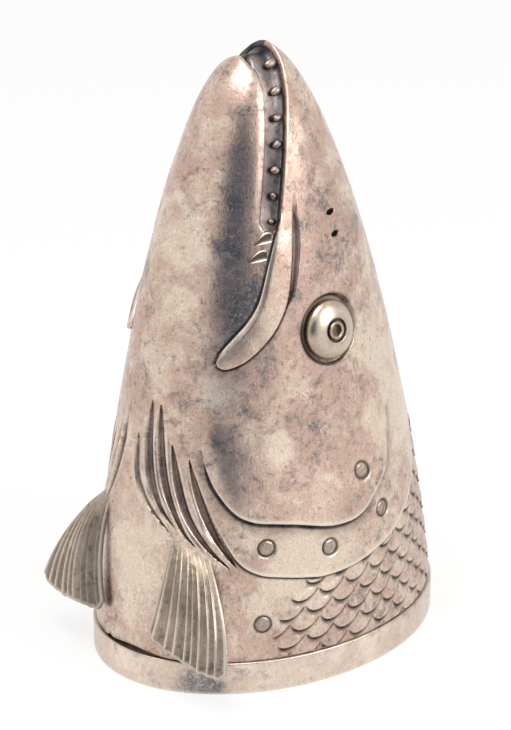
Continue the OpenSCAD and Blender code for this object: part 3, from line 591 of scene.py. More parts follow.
# Lower jaw: the skin from lip to lip across the belly. It slips a little under the head along the seam,
# and narrows in a round end at the chin while it curls in towards the mouth. Its lips fall away in a soft bevel.
def jawShape():
    t, v = (np.linspace(start, 1, count) for start, count in zip((0, -1), chin["grid"]))
    low, high = shareAt(mouth["jawThroat"] - chin["under"]), shareAt(chin["top"])
    s = (low + (high - low)*(1 - (1 - t)**1.8))[:, None]
    z = heightAt(s)
    tip = np.clip((z - chin["start"])/(chin["top"] - chin["start"]), 0, 1)
    curl = chin["drop"]*np.clip((z - chin["curl"])/(chin["top"] - chin["curl"]), 0, 1)**2.4
    seam = lipAngle(s, -1)
    under = chin["under"]*fade(z, 90, 4)/turnLength(s, seam)
    edge = -90 + (seam + under + 90)*np.sqrt(1 - tip**3)
    edge[0], edge[-1] = -90, -90
    a = -90 + v*(edge + 90)
    fromLip = (edge + 90)*(1 - np.abs(v))*turnLength(s, a)
    hidden = smooth((np.abs(a + 90) - seam - 90)*turnLength(s, a)/0.5)
    hidden = np.maximum(hidden*(under > 0), ramp(mouth["jawThroat"] + 0.4, z, 0.9))
    bevel = -chin["bevel"]*(1 - np.clip(fromLip/chin["bevelWidth"], 0, 1))**2 + roundDrop(fromLip, 0.25)
    lift = hammered(a, z) + bevel*ramp(z, mouth["low"], 5) - chin["sink"]*hidden - curl
    f = np.where(a < -90, -180 - a, a)
    lipDark = (0.22*bell(fromLip - 0.8, 0.8) + 0.3*bell(fromLip, 0.25))*ramp(z, mouth["low"], 4)
    # painted shadow of the lip bone on the jaw, with oxide along its edge
    oxide = np.maximum(oxideAndShadowBeside(f, z, s, lipBone["front"], (0.25, 0.0), over=0.5), lipDark)
    rubbed = 0.1*bell(fromLip - 1.1, 0.5)*ramp(z, mouth["low"] + 2, 6)
    return withMarks(closedPlate(skin(s, a, lift), skin(s, a, -sheetWall - curl), 4), oxide=oxide, rubbed=rubbed)


# Angle of each ray at a rising run of heights: its own line, and past its ends the next ray's line
# kept at the gap where it left off.
def rayAngles(lines, z):
    angles = []
    for points, _ in lines[::-1]:
        line = curveThrough(points, np.linspace(0, 1, 80))[::-1]
        own = np.interp(z, line[:, 1], line[:, 0])
        if angles:
            own = own + angles[0] - np.interp(np.clip(z, line[0, 1], line[-1, 1]), z, angles[0])
        angles.insert(0, own)
    return angles


# Ray patch: skin whose grid runs along the rays, so each chased line is clean; the rays are hollow cuts
# with a low ridge on both sides, and the patch's border dips under the head's own skin.
def rayPatch(lines):
    z = np.linspace(gillRays["low"], gillRays["high"], gillRays["rows"])
    angles = rayAngles(lines, z)
    angles = np.stack([angles[0] - gillRays["border"]] + angles + [angles[-1] + gillRays["border"]], 1)
    spots = np.cumsum([0, 20] + [24]*(len(lines) - 1) + [20])  # the grid column of each ray
    column, row = np.arange(spots[-1] + 1), np.arange(gillRays["rows"])[:, None]
    a = angles @ np.stack([np.interp(column, spots, only) for only in np.eye(len(spots))])
    z = z[:, None]
    s = shareAt(z)
    lift, rubbed = hammered(a, z) + 0.02*len(lines)**0.5, np.zeros(a.shape)
    oxide = oxideAndShadowBeside(a, z, s, gillCover["edge"], (0.25, 0.1), 0.9)
    for points, half in lines:
        groove, across = chasedLine(a, z, s, points, half)
        ridge = bell(np.abs(across) - half - 0.5, 0.45)*ramp(points[0][1], z, 8)*ramp(z, points[-1][1], 8)
        ridge = ridge*(1 - smooth(groove*4))
        lift = lift - gillRays["depth"]*groove + gillRays["ridge"]*ridge
        oxide = np.maximum(oxide, gillRays["dark"]*smooth(groove*1.6))
        rubbed = np.maximum(rubbed, 0.5*ridge)
    inward = np.minimum(np.minimum(column, column[-1] - column)/6, np.minimum(row, row[-1] - row)/8)
    lift = np.maximum(lift, -1.0) - 0.15*(1 - smooth(inward))
    return withMarks(closedPlate(skin(s, a, lift), skin(s, a, -1.08), 4), oxide=oxide, rubbed=rubbed*(1 - oxide))


addPiece("head_skin", headShape(), raisedSilver, ["head_shell"])
addPiece("jaw_skin", jawShape(), raisedSilver, ["lower_jaw"])
for hand, mirror in bothHands:
    addPiece(hand + "_gill_rays", rayPatch(raysOn[hand]), raisedSilver, ["head_shell"], mirror)
print("stage: head and jaw raised")


# Half width of the head where a plane beside the mouth line cuts it: the oval's chord at that depth.
def mouthHalf(s, off):
    side, deep, middle = ovalAt(s)
    y = mouth["y"] + (heightAt(s) - noseHeight)*math.tan(tilt) + off/math.cos(tilt)
    return side*np.sqrt(np.maximum(0, 1 - ((y - middle)/np.maximum(deep, 0.01))**2))


# Lowest height and first and last share of the mouth at an offset across it.
def mouthEnds(off):
    foot = mouth["low"] - off*math.sin(tilt)
    share = allShares[(mouthHalf(allShares, off) > 0) & (allShares > shareAt(foot))]
    return foot, share.min(), share.max()


# Points along the mouth from one corner (t = -1) over the nose to the other (t = 1), at an offset
# across the mouth and a depth under the lips: the lip line shrunk towards the corner's level.
def mouthLine(t, off, depth):
    foot, low, high = mouthEnds(off)
    s = low + (high - low)*(1 - np.abs(t)**2)
    corner = mouthHalf(low, off)
    top = (heightAt(high) - foot)/math.cos(tilt)
    x = -np.sign(t)*mouthHalf(s, off)*(corner - depth)/corner
    up = (mouth["low"] - noseHeight)/math.cos(tilt) + (heightAt(s) - foot)/math.cos(tilt)*(top - depth)/top
    return fromMouth(np.stack([x, off + 0*x, up], -1))


# From the mouth's leaning frame to the cup's: turned by the tilt about the nose.
def fromMouth(p):
    return np.stack([p[..., 0], mouth["y"] + p[..., 1]*math.cos(tilt) + p[..., 2]*math.sin(tilt),
                     noseHeight - p[..., 1]*math.sin(tilt) + p[..., 2]*math.cos(tilt)], -1)


channel = {"half": 2.5, "top": 0.5, "thick": 0.5, "dip": 6.5, "grid": (25, 141)}


# Mouth channel: a squarish U carried from corner to corner, its floor rising to close each end. It is painted
# blackest under the nose as shade, with a brown line along its floor.
def channelShape():
    around, long = channel["grid"]
    t, turn = np.linspace(-1, 1, long), np.linspace(0, math.pi, around)
    closing = np.sqrt(1 - np.clip(1 - (1 - np.abs(t))/0.07, 0, 1)**2)
    walls = []
    for grow in (0.0, channel["thick"]):
        rows = []
        for c, d in zip(np.cos(turn), np.sin(turn)):
            off = (channel["half"] + 0.1*grow)*math.copysign(abs(c)**0.5, c)
            top = channel["top"] + channel["dip"]*max(-c, 0)*smooth(1 - np.abs(t)/0.7)
            rows.append(mouthLine(t, off, top + (mouth["depth"] + grow - top)*abs(d)**0.5*closing))
        walls.append(np.stack(rows))
    across = np.linspace(-1, 1, around)[:, None] + 0*t  # from the upper lip to the lower
    # grey oxide, and painted shade blackest under the nose
    oxide = np.maximum(0.1 + 0.25*bell(across + 0.4, 0.3), 0.95*bell(t, 0.32))
    rubbed = 0.85*bell(across + 0.02, 0.2)*(1 - bell(t, 0.25))
    return withMarks(closedPlate(*walls), oxide=np.tile(oxide.ravel(), 2), rubbed=np.tile(rubbed.ravel(), 2))


teeth = {"count": 7, "first": 2.6, "pitch": 4.95, "radius": 0.86, "beside": 1.15, "long": 1.45, "deep": 2.0,
         "lastDeeper": 1.6, "dark": 0.15, "grid": (17, 29)}


# Tooth: a small nub, a ball stretched across the mouth towards the lower lip and dented by waves.
def toothShape(k, deep):
    s = shareAt(mouth["low"] + teeth["first"] + k*teeth["pitch"])
    _, low, high = mouthEnds(-mouth["gap"]/2)
    spot = 1 - (s - low)/(high - low)
    base = mouthLine(np.array([-math.sqrt(spot)]), 0.0, deep)[0]
    lean = scatter(k, 3) - 0.5
    rows, cols = teeth["grid"]
    theta, phi = np.linspace(0, 2*math.pi, cols)[None, :], np.linspace(0, math.pi, rows)[:, None]
    size = teeth["radius"]*(0.88 + 0.24*scatter(k, 7))
    r = size*(1 + 0.1*np.sin(2*theta + 5*scatter(k, 1))*np.sin(phi) + 0.08*np.cos(3*phi + 6*scatter(k, 2)))
    ball = np.stack([r*np.sin(phi)*np.cos(theta), teeth["long"]*r*np.cos(phi), r*np.sin(phi)*np.sin(theta)], -1)
    ball[..., 2] += lean*0.5*ball[..., 1]
    lift = np.array([0.0, teeth["beside"]*math.cos(tilt), -teeth["beside"]*math.sin(tilt)])
    return withMarks(gridShape(ball + base + lift), oxide=np.full(rows*cols, teeth["dark"]))


mouthFolds = {"ends": (((-27.5, 94.5), (-37.5, 93.2)), ((-30.5, 91.1), (-40.5, 89.8))), "half": 1.35, "rim": 0.75,
              "dark": 0.75, "grid": (29, 49)}


# Fold: a leaf from the lip bone towards the jaw, high along its rim and hollow inside.
def foldShape(ends):
    rows, cols = mouthFolds["grid"]
    u, v = np.linspace(1, 0, cols)[None, :], np.linspace(-1, 1, rows)[:, None]
    (a0, z0), (a1, z1) = ends
    wide = mouthFolds["half"]*np.sin(math.pi*(0.06 + 0.94*u)**0.62)**0.8
    a, z = a0 + (a1 - a0)*u + 0*v, z0 + (z1 - z0)*u + v*wide + 0.35*np.sin(math.pi*u)
    rim = mouthFolds["rim"]*(0.2 + 0.8*bell(np.abs(v) - 0.74, 0.24))*(1 - 0.45*u)*np.sqrt(1 - u**12)
    lift = 0.05 + rim*np.sqrt(np.clip(1 - v**8, 0, 1))
    hollow, edge = fade(np.abs(v), 0.3, 0.35) + 0*u, bell(np.abs(v) - 0.76, 0.2) + 0*u
    return withMarks(closedPlate(skinZ(z, a, lift), skinZ(z, a, -0.3)), oxide=mouthFolds["dark"]*hollow, rubbed=edge)


addPiece("mouth_channel", channelShape(), mouthSilver, ["mouth_lining"])
folds = joined([foldShape(ends) for ends in mouthFolds["ends"]])
for hand, mirror in bothHands:
    depths = [teeth["deep"]]*(teeth["count"] - 1) + [teeth["deep"] + teeth["lastDeeper"]*mirror]
    nubs = joined([toothShape(k, deep) for k, deep in enumerate(depths)])
    addPiece(hand + "_tooth_nubs", nubs, toothSilver, [hand + "_teeth"], mirror)
    addPiece(hand + "_leaf_folds", folds, castSilver, [hand + "_mouth_folds"], mirror)
print("stage: mouth filled")


# Lip bone: a strip between two lines, crowned across, sunk at its top end and proud at its tail. It has the
# skin's stains and painted shade at the lip, an even tan face below, and painted shade on its lower bevel.
def boneShape():
    t, v = np.linspace(0, 1, 121)[None, :], np.linspace(0, 1, 33)[:, None]
    front, back = curveThrough(lipBone["front"], t[0]), curveThrough(lipBone["back"], t[0])
    a, z = (front[:, k]*(1 - v) + back[:, k]*v for k in (0, 1))
    s = shareAt(z)
    wide = np.hypot((back[:, 0] - front[:, 0])*turnLength(s, a), back[:, 1] - front[:, 1])
    fromSide, fromTail = np.minimum(v, 1 - v)*wide, (1 - t)*lipBone["length"]
    bevel = 0.4 + 0.6*ramp(v, 0.03, 0.17)
    crown = lipBone["height"]*bevel*(0.92 + 0.08*np.sin(math.pi*v))*ramp(t, 0.16, 0.6)
    drop = (roundDrop(fromSide, 0.4) + roundDrop(fromTail, 0.6))*ramp(t, 0.12, 0.4)
    lift = hammered(a, z) + crown + np.maximum(drop, -0.8) + 0.03 - lipBone["topSink"]*fade(t, 0, 0.22)
    lift = lift + lipLift(np.maximum((a - lipAngle(s, 1))*turnLength(s, a), 0.6), s)*fade(t, 0.15, 0.35)
    rubbed = 0.75*bell(v*wide - 0.15, 0.25)*ramp(t, 0.1, 0.3)
    # painted shade on the bevel along the bone's lower side
    strip = 0.5*bell((v - 0.14)*wide, 0.35)*ramp(t, 0.2, 0.2)*ramp(0.92, t, 0.15)
    shape, marks = withMarks(closedPlate(skin(s, a, lift), skin(s, a, -0.4)), oxide=strip, rubbed=rubbed,
                             even=ramp(t, 0.15, 0.3) + 0*v)
    even = marks.pop("even")
    marks["darkStainAndShade"] = stainAndShadeAt(shape[0], "dark")*(1 - even)
    marks["paleStainAndHighlight"] = stainAndShadeAt(shape[0], "pale")*(1 - even) + 0.15*even
    return shape, marks


eye = {"radius": 6.15, "rise": 2.0, "edge": -0.15, "foot": -0.65, "recess": 2.6, "recessDepth": 0.8, "bore": 1.1,
       "pupil": 1.92, "pupilBore": 1.2, "pupilFloor": 0.9, "shank": 1.05, "shankEnd": -1.6, "round": 97}


# Eye boss: a profile of rounded rim, low dome and a sunk ring round the pupil, spun over the skin itself,
# so that it follows the head's curve. Black in the ring and under the rim.
def eyeShape():
    turn = np.linspace(0, math.acos(eye["recess"]/eye["radius"]), 30)
    dome = np.stack([eye["radius"]*np.cos(turn),
                     eye["edge"] + (eye["rise"] - eye["edge"])*np.sin(turn)/math.sin(turn[-1])], -1)
    floor = eye["rise"] - eye["recessDepth"]
    profile = np.concatenate([[(eye["bore"], eye["foot"]), (eye["radius"] - 0.2, eye["foot"]), (eye["radius"], -0.45)],
                              dome, [(eye["recess"] - 0.12, eye["rise"] - 0.12), (eye["recess"] - 0.15, floor),
                                     (eye["bore"], floor), (eye["bore"], eye["foot"])]])
    theta = np.linspace(0, 2*math.pi, eye["round"])[None, :]
    r, h = profile[:, :1], profile[:, 1:]
    a = eyeSeat["angle"] + r*np.cos(theta)/turnLength(shareAt(eyeSeat["height"]), eyeSeat["angle"])
    shape = gridShape(skinZ(eyeSeat["height"] + 0.98*r*np.sin(theta), a, h))
    oxide = 0.9*(r < eye["recess"] - 0.05) + 0.7*(h < 0.1) + 0*theta
    return withMarks(shape, oxide=oxide, rubbed=0.5*bell(r - 4, 1.6) + 0*theta)


# Pupil rivet: a profile of round-edged collar with a deep hole, on a shank, spun about the seat's normal.
def pupilShape():
    floor, bend = eye["rise"] - eye["recessDepth"] + 0.05, np.linspace(0, math.pi/2, 8)
    top = eye["rise"] + 0.02
    outer = np.stack([eye["pupil"] - 0.25 + 0.25*np.cos(bend), top - 0.25 + 0.25*np.sin(bend)], -1)
    inner = np.stack([eye["pupilBore"] + 0.2 - 0.2*np.sin(bend), top - 0.2 + 0.2*np.cos(bend)], -1)
    profile = np.concatenate([[(0.0, eye["shankEnd"]), (eye["shank"], eye["shankEnd"]), (eye["shank"], floor),
                               (eye["pupil"], floor)], outer, inner,
                              [(eye["pupilBore"], eye["pupilFloor"]), (0.0, eye["pupilFloor"])]])
    middle = skinZ(eyeSeat["height"], eyeSeat["angle"])
    normal = skinZ(eyeSeat["height"], eyeSeat["angle"], 1.0) - middle
    across = np.cross((0, 0, 1), normal)
    across /= np.linalg.norm(across)
    theta = np.linspace(0, 2*math.pi, eye["round"])[None, :]
    r, h = profile[:, :1], profile[:, 1:]
    ring = np.cos(theta)[..., None]*across + np.sin(theta)[..., None]*np.cross(normal, across)
    oxide = np.where(r < eye["pupilBore"] + 0.03, 0.45, 0.7*(h < 1.3)) + 0*theta
    return withMarks(gridShape(middle + r[..., None]*ring + h[..., None]*normal), oxide=oxide)


bone, boss, rivet = boneShape(), eyeShape(), pupilShape()
for hand, mirror in bothHands:
    addPiece(hand + "_lip_strip", bone, raisedSilver, [hand + "_lip_bone"], mirror)
    addPiece(hand + "_eye", boss, eyeSilver, [hand + "_eye_boss"], mirror)
    addPiece(hand + "_pupil", rivet, eyeSilver, [hand + "_eye_rivet"], mirror)
print("stage: eyes and lip bones set")

punchedSpots = {"places": ((5.5, 43.0), (13.9, 32.9), (-10.2, 29.1), (-33.1, 31.5)), "radius": 1.72, "line": 0.3,
                "depth": 0.32, "sink": 0.1, "grit": 0.07, "dark": 0.95}


# Punched spot: a ring sunk round a matted disc, by distance from each place.
def spotRelief(a, z, places):
    lift, oxide = np.zeros(a.shape), np.zeros(a.shape)
    for angle, height in places:
        r = np.hypot((a - angle)*turnLength(shareAt(height), angle), z - height)
        ring = bell(r - punchedSpots["radius"], punchedSpots["line"])
        inside = fade(r, punchedSpots["radius"], 0.2)
        grit = scatter(np.round(a*3), np.round(z*5))*inside
        lift = lift - punchedSpots["depth"]*ring - punchedSpots["sink"]*inside + punchedSpots["grit"]*grit
        oxide = np.maximum(oxide, np.maximum(punchedSpots["dark"]*ring, inside*(0.3 + 0.25*grit)))
    return lift, oxide


# Plate laid on the skin between its edge line and its upper line; the edge is rounded and stands proud,
# its height follows the profile and rises from both ends, and its other borders sink under the skin.
# Where another plate laps over it, oxide and a wide painted shadow gather along that one's edge.
def plateShape(plate, hand, profile, lapped=None):
    across, up = plate["grid"]
    t = np.linspace(0, 1, across)[None, :]
    v = np.concatenate([np.linspace(0, 0.05, 9), np.linspace(0.05, 1, up)[1:]])[:, None]
    edge, top = curveThrough(plate["edge"], t[0]), curveThrough(plate["top"], t[0])
    a, z = (edge[:, k]*(1 - v) + top[:, k]*v for k in (0, 1))
    s = shareAt(z)
    tall = np.hypot((top[:, 0] - edge[:, 0])*turnLength(shareAt(edge[:, 1]), edge[:, 0]), top[:, 1] - edge[:, 1])
    ends = ramp(a, *plate[hand])*ramp(plate["rear"][0], a, plate["rear"][1])
    border = np.maximum(0.5*ramp(v, 0.7, 0.3), np.maximum(fade(t, 0, 0.04), fade(1 - t, 0, 0.04)))
    lift, oxide = spotRelief(a, z, punchedSpots["places"])
    lift = (plate["height"]*profile(t, v, v*tall) + roundDrop(v*tall, 0.45))*ends + hammered(a, z) + lift
    lift = lift + 0.03 - 0.15*border
    if lapped:
        # oxide in the joint and a wide painted shadow below the lapping plate's edge
        away = lineDistance(a, z, s, lapped, (0.12, 0.3))
        oxide = np.maximum(oxide, np.maximum(0.9*fade(away, 0.55, 0.8), 0.34*fade(away, 0.6, 2.4)))
    under = np.minimum(0.25*plate["height"], lift) - 0.3
    rubbed = 0.9*bell(v*tall - 0.45, 0.5)*ends
    return withMarks(closedPlate(skin(s, a, lift), skin(s, a, under), 4), oxide=oxide, rubbed=rubbed)


# Gill cover: level under the cheek, and running out over the nape towards its rear end.
def gillProfile(t, v, fromEdge):
    start = 0.72 - 0.6*ramp(t, 0.62, 0.25)
    return (1 - 0.2*np.sin(math.pi*np.clip(v/0.7, 0, 1)))*fade(v, start, 1 - start)


# Cheek: highest at its edge, running out upwards into the head.
def cheekProfile(t, v, fromEdge):
    return fade(fromEdge, 0, 18)*fade(v, 0.55, 0.45)


for hand, mirror in bothHands:
    gill = plateShape(gillCover, hand, gillProfile, cheekPlate["edge"])
    addPiece(hand + "_gill_plate", gill, raisedSilver, [hand + "_gill_cover"], mirror)
    cheek = plateShape(cheekPlate, hand, cheekProfile)
    addPiece(hand + "_cheek", cheek, raisedSilver, [hand + "_cheek_plate"], mirror)
print("stage: gill plates laid on")

scales = {"wide": 6.75, "pitch": 3.05, "level": 21.3, "shift": 0.72, "tilt": 0.117, "sag": 1.9, "edge": 0.34,
          "line": (0.52, 0.4), "cut": 0.3, "uneven": 0.3, "skew": 0.18, "low": 7.12, "spot": (-34.5, 15.0),
          "front": ((9, -30), (12.1, -30), (15.1, -31.5), (18.2, -29.5), (21.3, -25.5), (24.4, -20)),
          "grid": (133, 621), "reach": (-42, 222)}
arcAngles = np.linspace(-60, 90, 1501)
arcLengths = np.cumsum(turnLength(shareAt(20.0), arcAngles))*0.1
arcLengths = arcLengths[-1] - arcLengths  # length round the skin from the back's middle


# Scales: staggered rows that rise a little towards the back and lap downwards. Each tongue ends below in a
# shallow bow, level minus sag times one less a power of q, q going from -1 to 1 across it and skewed so that
# the lowest point lies towards the front. Rows are laid from the lowest up; a tongue stands highest at its
# bow, and the cut below the bow is widest towards the front.
def scaleRelief(f, z):
    x = np.interp(f, arcAngles, arcLengths)
    climbed = z - scales["tilt"]*(60 - x)
    home = np.floor((climbed - scales["level"])/scales["pitch"])
    lift, shade, rubbed = np.zeros(z.shape), np.zeros(z.shape), np.zeros(z.shape)
    front = np.array(scales["front"])
    for row in (home, home + 1, home + 2):
        stagger = scales["shift"] + 0.5*(row % 2)
        column = np.round(x/scales["wide"] - stagger)
        middle = (column + stagger)*scales["wide"]
        level = scales["level"] + row*scales["pitch"] + scales["uneven"]*(scatter(column, row + 50) - 0.5)
        q = (x - middle + scales["uneven"]*(scatter(row, column) - 0.5))/(scales["wide"]/2)
        q = np.clip(q, -1, 1)
        q = q - scales["skew"]*(1 - q*q)
        over = climbed - level + scales["sag"]*(1 - np.abs(q)**2.4)
        start = np.interp(level, front[:, 0], front[:, 1])
        isThere = np.interp(middle, arcLengths[::-1], arcAngles[::-1]) > start - 2
        inside = isThere & (over >= 0)
        begun = ramp(f, start, 1.2)
        ends = smooth((1 - np.abs(q))/0.5)*begun
        lift = np.where(inside, ends*(scales["edge"]*fade(over, 0, 2.6) + roundDrop(over, 0.16)), lift)
        wide = scales["line"][0] + scales["line"][1]*ramp(q, -0.9, 1.1)*ramp(1, q, 0.25)
        cut = bell(over, wide)*ramp(1, q, 0.12)*(0.85 + 0.15*ramp(q, -0.8, 0.8))*begun
        cut = np.where(isThere & (over < 0), cut, 0)
        shade = np.where(inside, 0.02*begun, np.maximum(shade, cut))
        rubbed = np.where(inside, 0.2*ends*bell(over - 0.4, 0.3), rubbed)
    return lift - scales["cut"]*shade, shade, rubbed*(1 - shade)


# Coat of scales round the flanks and back, from the band up under the gill covers and over the nape, with one
# punched spot at its front.
def coatShape():
    rows, cols = scales["grid"]
    a, v = np.linspace(*scales["reach"], cols)[None, :], np.linspace(0, 1, rows)[:, None]
    f = folded(a)
    z = scales["low"] + (coatTop(f) - scales["low"])*v
    s = shareAt(z)
    lift, shade, rubbed = scaleRelief(f + 0*z, z)
    angle, height = scales["spot"]
    fromSpot = np.hypot((f - angle)*turnLength(shareAt(height), angle), z - height)
    ring = bell(fromSpot - punchedSpots["radius"], punchedSpots["line"])
    lift = np.maximum(lift, 0.2*fade(fromSpot, 1.85, 0.25)) - 0.25*ring
    spotShade = np.maximum(punchedSpots["dark"]*ring, 0.4*(fromSpot < punchedSpots["radius"]))
    shade = np.maximum(np.maximum(shade, spotShade), oxideAndShadowBeside(f, z, s, gillCover["edge"], (0.0, 0.15)))
    sink = smooth(v/0.01)*ramp(1, v, 0.06)*ramp(f, scales["reach"][0], 2)
    lift = (lift + 0.02)*sink + hammered(a, z) - 0.15*(1 - sink)
    outer, inner = skin(s, a, lift), skin(s, a, -0.7)
    outer[..., 2] += seamRise(a, z)
    inner[..., 2] += seamRise(a, z)
    return withMarks(closedPlate(outer, inner, 4), oxide=shade, rubbed=rubbed)


addPiece("scale_coat", coatShape(), raisedSilver, ["head_shell"])
print("stage: scales chased")

leftFin = {  # angle, height and lift along the root and at the bends and tips of the two outer rays
    "root": ((-68.8, 35.2, -0.75), (-65, 33.9, -0.6), (-60, 32.0, -0.6), (-54, 30.2, -0.75)),
    "bellyBend": (-69.6, 23.5, 2.9), "sideBend": (-46, 18.5, 8.6),
    "belly": (-75.2, 12.6, 2.2), "side": (-47.5, 7.6, 11.2),
    "bow": 1.6, "bulge": 0.9, "rays": 9, "ray": 0.4, "thick": 0.9, "shadow": 0.0, "grid": (81, 201),
}
rightFin = dict(leftFin, sideBend=(-46, 20.5, 10.4), side=(-47, 9.8, 12.4), bellyBend=(-67, 24.5, 2.0),
                belly=(-80, 13.2, 1.2), shadow=0.62,
                root=((-68.8, 37.7, -0.75), (-64, 36.6, -0.6), (-58, 34.9, -0.2), (-52, 33.6, 0.1)))


# Fin: a fan between the root on the skin and a bowed lower edge, each line from root to edge a bent
# curve; the face bulges, narrow rays stand on both sides and the edge is nicked between them. The half
# turned away carries a painted shadow.
def finShape(fin):
    v, u = (np.linspace(0, 1, count) for count in fin["grid"])
    down = v[:, None]
    root = curveThrough(fin["root"], u)
    start = skinZ(root[:, 1], root[:, 0], root[:, 2])
    bellyBend, sideBend, belly, side = (skinZ(fin[k][1], fin[k][0], fin[k][2])
                                        for k in ("bellyBend", "sideBend", "belly", "side"))
    bend, tip = bellyBend + (sideBend - bellyBend)*u[:, None], belly + (side - belly)*u[:, None]
    uneven = u + 0.02*np.sin(9*u + 1) + 0.012*np.sin(23*u)
    beat = np.abs(np.cos(math.pi*fin["rays"]*uneven))
    ends = 0.06*ramp(u, 0.9, 0.1) + 0.05*ramp(0.12, u, 0.12)
    reach = ((1 - ends + 0.014*beat*scatter(np.round(fin["rays"]*uneven), 4))*down)[..., None]
    middle = start*(1 - reach)**2 + 2*bend*reach*(1 - reach) + tip*reach**2
    middle[..., 2] -= fin["bow"]*4*u*(1 - u)*reach[..., 0]**2
    normal = np.cross(np.gradient(middle, axis=1), -np.gradient(middle, axis=0))
    normal /= np.linalg.norm(normal, axis=-1, keepdims=True)
    middle = middle + (fin["bulge"]*np.sin(math.pi*u)*np.sin(math.pi*down**0.8))[..., None]*normal
    split = np.abs(np.cos(math.pi*(2*fin["rays"] + 1)*uneven + 0.6))**6  # fine rays between the main ones
    ray = beat**10*smooth(down*2.5) + 0.3*(1 - beat**2)*split*smooth(down*2 - 0.5)
    border = np.minimum(np.minimum(u, 1 - u)*18, (1 - down)*24)
    half = (fin["thick"]/2 + 0.2*bell(u, 0.07))*(0.35 + 0.65*smooth(down*5))
    thin = np.sqrt(1 - (1 - np.clip(border/0.7, 0.02, 1))**2)
    outer, inner = (middle + (way*(half + fin["ray"]*tall*(ray - 0.45))*thin)[..., None]*normal
                    for way, tall in ((1, 1.0), (-1, 0.6)))
    shaded = fin["shadow"]*ramp(0.62, u, 0.35)*smooth(down*3)  # painted shadow on the half that is turned away
    valleyOxideAndShadow = np.maximum(0.42*(1 - beat**8)*smooth(down*4) + 0.35*bell(down, 0.08), shaded)
    crest = np.maximum(0.8*ray**2*(0.5 + 0.5*down)*(1 - shaded), 0.8*bell(border - 0.35, 0.35)*(1 - 0.5*shaded))
    return withMarks(closedPlate(outer[::-1], inner[::-1]), oxide=np.tile(valleyOxideAndShadow[::-1].ravel(), 2),
                     rubbed=np.tile(crest[::-1].ravel(), 2))


for (hand, mirror), fin in zip(bothHands, (leftFin, rightFin)):
    addPiece(hand + "_fin", finShape(fin), castSilver, [hand + "_pectoral_fin"], mirror)

band = {"proud": 0.6, "lipTop": 10.5, "lipOut": -1.5, "bore": -2.35, "round": 0.32, "wave": 0.04, "count": 361,
        "shelfShade": 0.5, "edgeDark": 0.2, "rub": 0.6}


# Rim band: a profile carried round the oval, straight outside with rounded edges, a shelf and the inner lip.
# The outside waves a little, and its foot is rubbed bright. The shelf under the head's edge is painted dark as shade.
def bandShape():
    bend = np.linspace(0, math.pi/2, 7)
    r, out = band["round"], band["proud"]
    low = np.stack([out - r + r*np.sin(bend), r - r*np.cos(bend)], -1)
    high = np.stack([out - r + r*np.cos(bend), rimHeight - r + r*np.sin(bend)], -1)
    wall = np.stack([np.full(12, out), np.linspace(r, rimHeight - r, 14)[1:-1]], -1)
    profile = np.concatenate([low, wall, high, [(band["lipOut"], rimHeight), (band["lipOut"], band["lipTop"]),
                                                (band["bore"], band["lipTop"]), (band["bore"], 0.0), low[0]]])
    theta = np.linspace(0, 2*math.pi, band["count"])
    side, deep, middle = ovalAt(0.0)
    away, up = profile[:, :1], profile[:, 1:]
    outside = away > 0
    grow = away + band["wave"]*(np.sin(3*theta + 0.4)*np.sin(5*theta) - 1)*outside
    points = np.stack([(side + grow)*np.cos(theta), middle + (deep + grow)*np.sin(theta), up + 0*theta], -1)
    # painted shade on the shelf under the head's edge, and a darker top edge
    dark = np.maximum(band["shelfShade"]*(away < 0)*(up > 6), band["edgeDark"]*ramp(up, 6.6, 0.25))
    foot = band["rub"]*bell(up - 0.25, 0.35)*outside
    return withMarks(gridShape(points), oxide=dark + 0*theta, rubbed=foot + 0*theta)


addPiece("rim_ring", bandShape(), bandSilver, ["rim_band"])
print("stage: fins and band fitted")

studio = {"floor": "#f4f2ef", "glow": 0.82, "fill": 0.55, "aim": (0, 0, 0.06),
          "behind": "#24557a", "behindAway": 1.2, "behindHalf": 0.55, "behindLow": 0.02, "behindHigh": 0.8,
          "behindSoft": (0.28, 0.7),  # where its sides start to pale, and how far
          "lamps": (("top_box", (0.08, -0.24, 0.87), 0.5, 5), ("side_box", (0.8, 0.25, 0.5), 0.5, 4))}


# Stage panel: one four-cornered face with an empty material.
def stagePanel(name, corners, finish):
    mesh = bpy.data.meshes.new(name)
    mesh.from_pydata([tuple(c) for c in corners], [], [(0, 1, 2, 3)])
    material = bpy.data.materials.new(finish)
    material.use_nodes = True
    material.node_tree.nodes.clear()
    mesh.materials.append(material)
    panel = bpy.data.objects.new(name, mesh)
    bpy.context.scene.collection.objects.link(panel)
    return panel, material.node_tree


# Rays that see the white room: the largest of the lens's, the reflections' and the glass's, 1 or 0.
def seenRays(tree):
    seen = 0.0
    for kind in ("Is Camera Ray", "Is Glossy Ray", "Is Transmission Ray"):
        seen = addNode(tree, "Math", {0: seen, 1: addNode(tree, "LightPath", out=kind)}, operation="MAXIMUM")
    return seen


# Floor: pale paper that shows white to the lens, and still takes the cup's soft shadow.
def makeFloor():
    _, tree = stagePanel("floor", [(-3, -3, 0), (3, -3, 0), (3, 3, 0), (-3, 3, 0)], "paper_matt_white")
    share = addNode(tree, "Math", {0: seenRays(tree), 1: studio["glow"]}, operation="MULTIPLY")
    paper = addNode(tree, "BsdfDiffuse", {"Color": linear(studio["floor"])})
    glow = addNode(tree, "Emission", {"Color": (1, 1, 1, 1), "Strength": 1.0})
    addNode(tree, "OutputMaterial", {"Surface": addNode(tree, "MixShader", {0: share, 1: paper, 2: glow})})


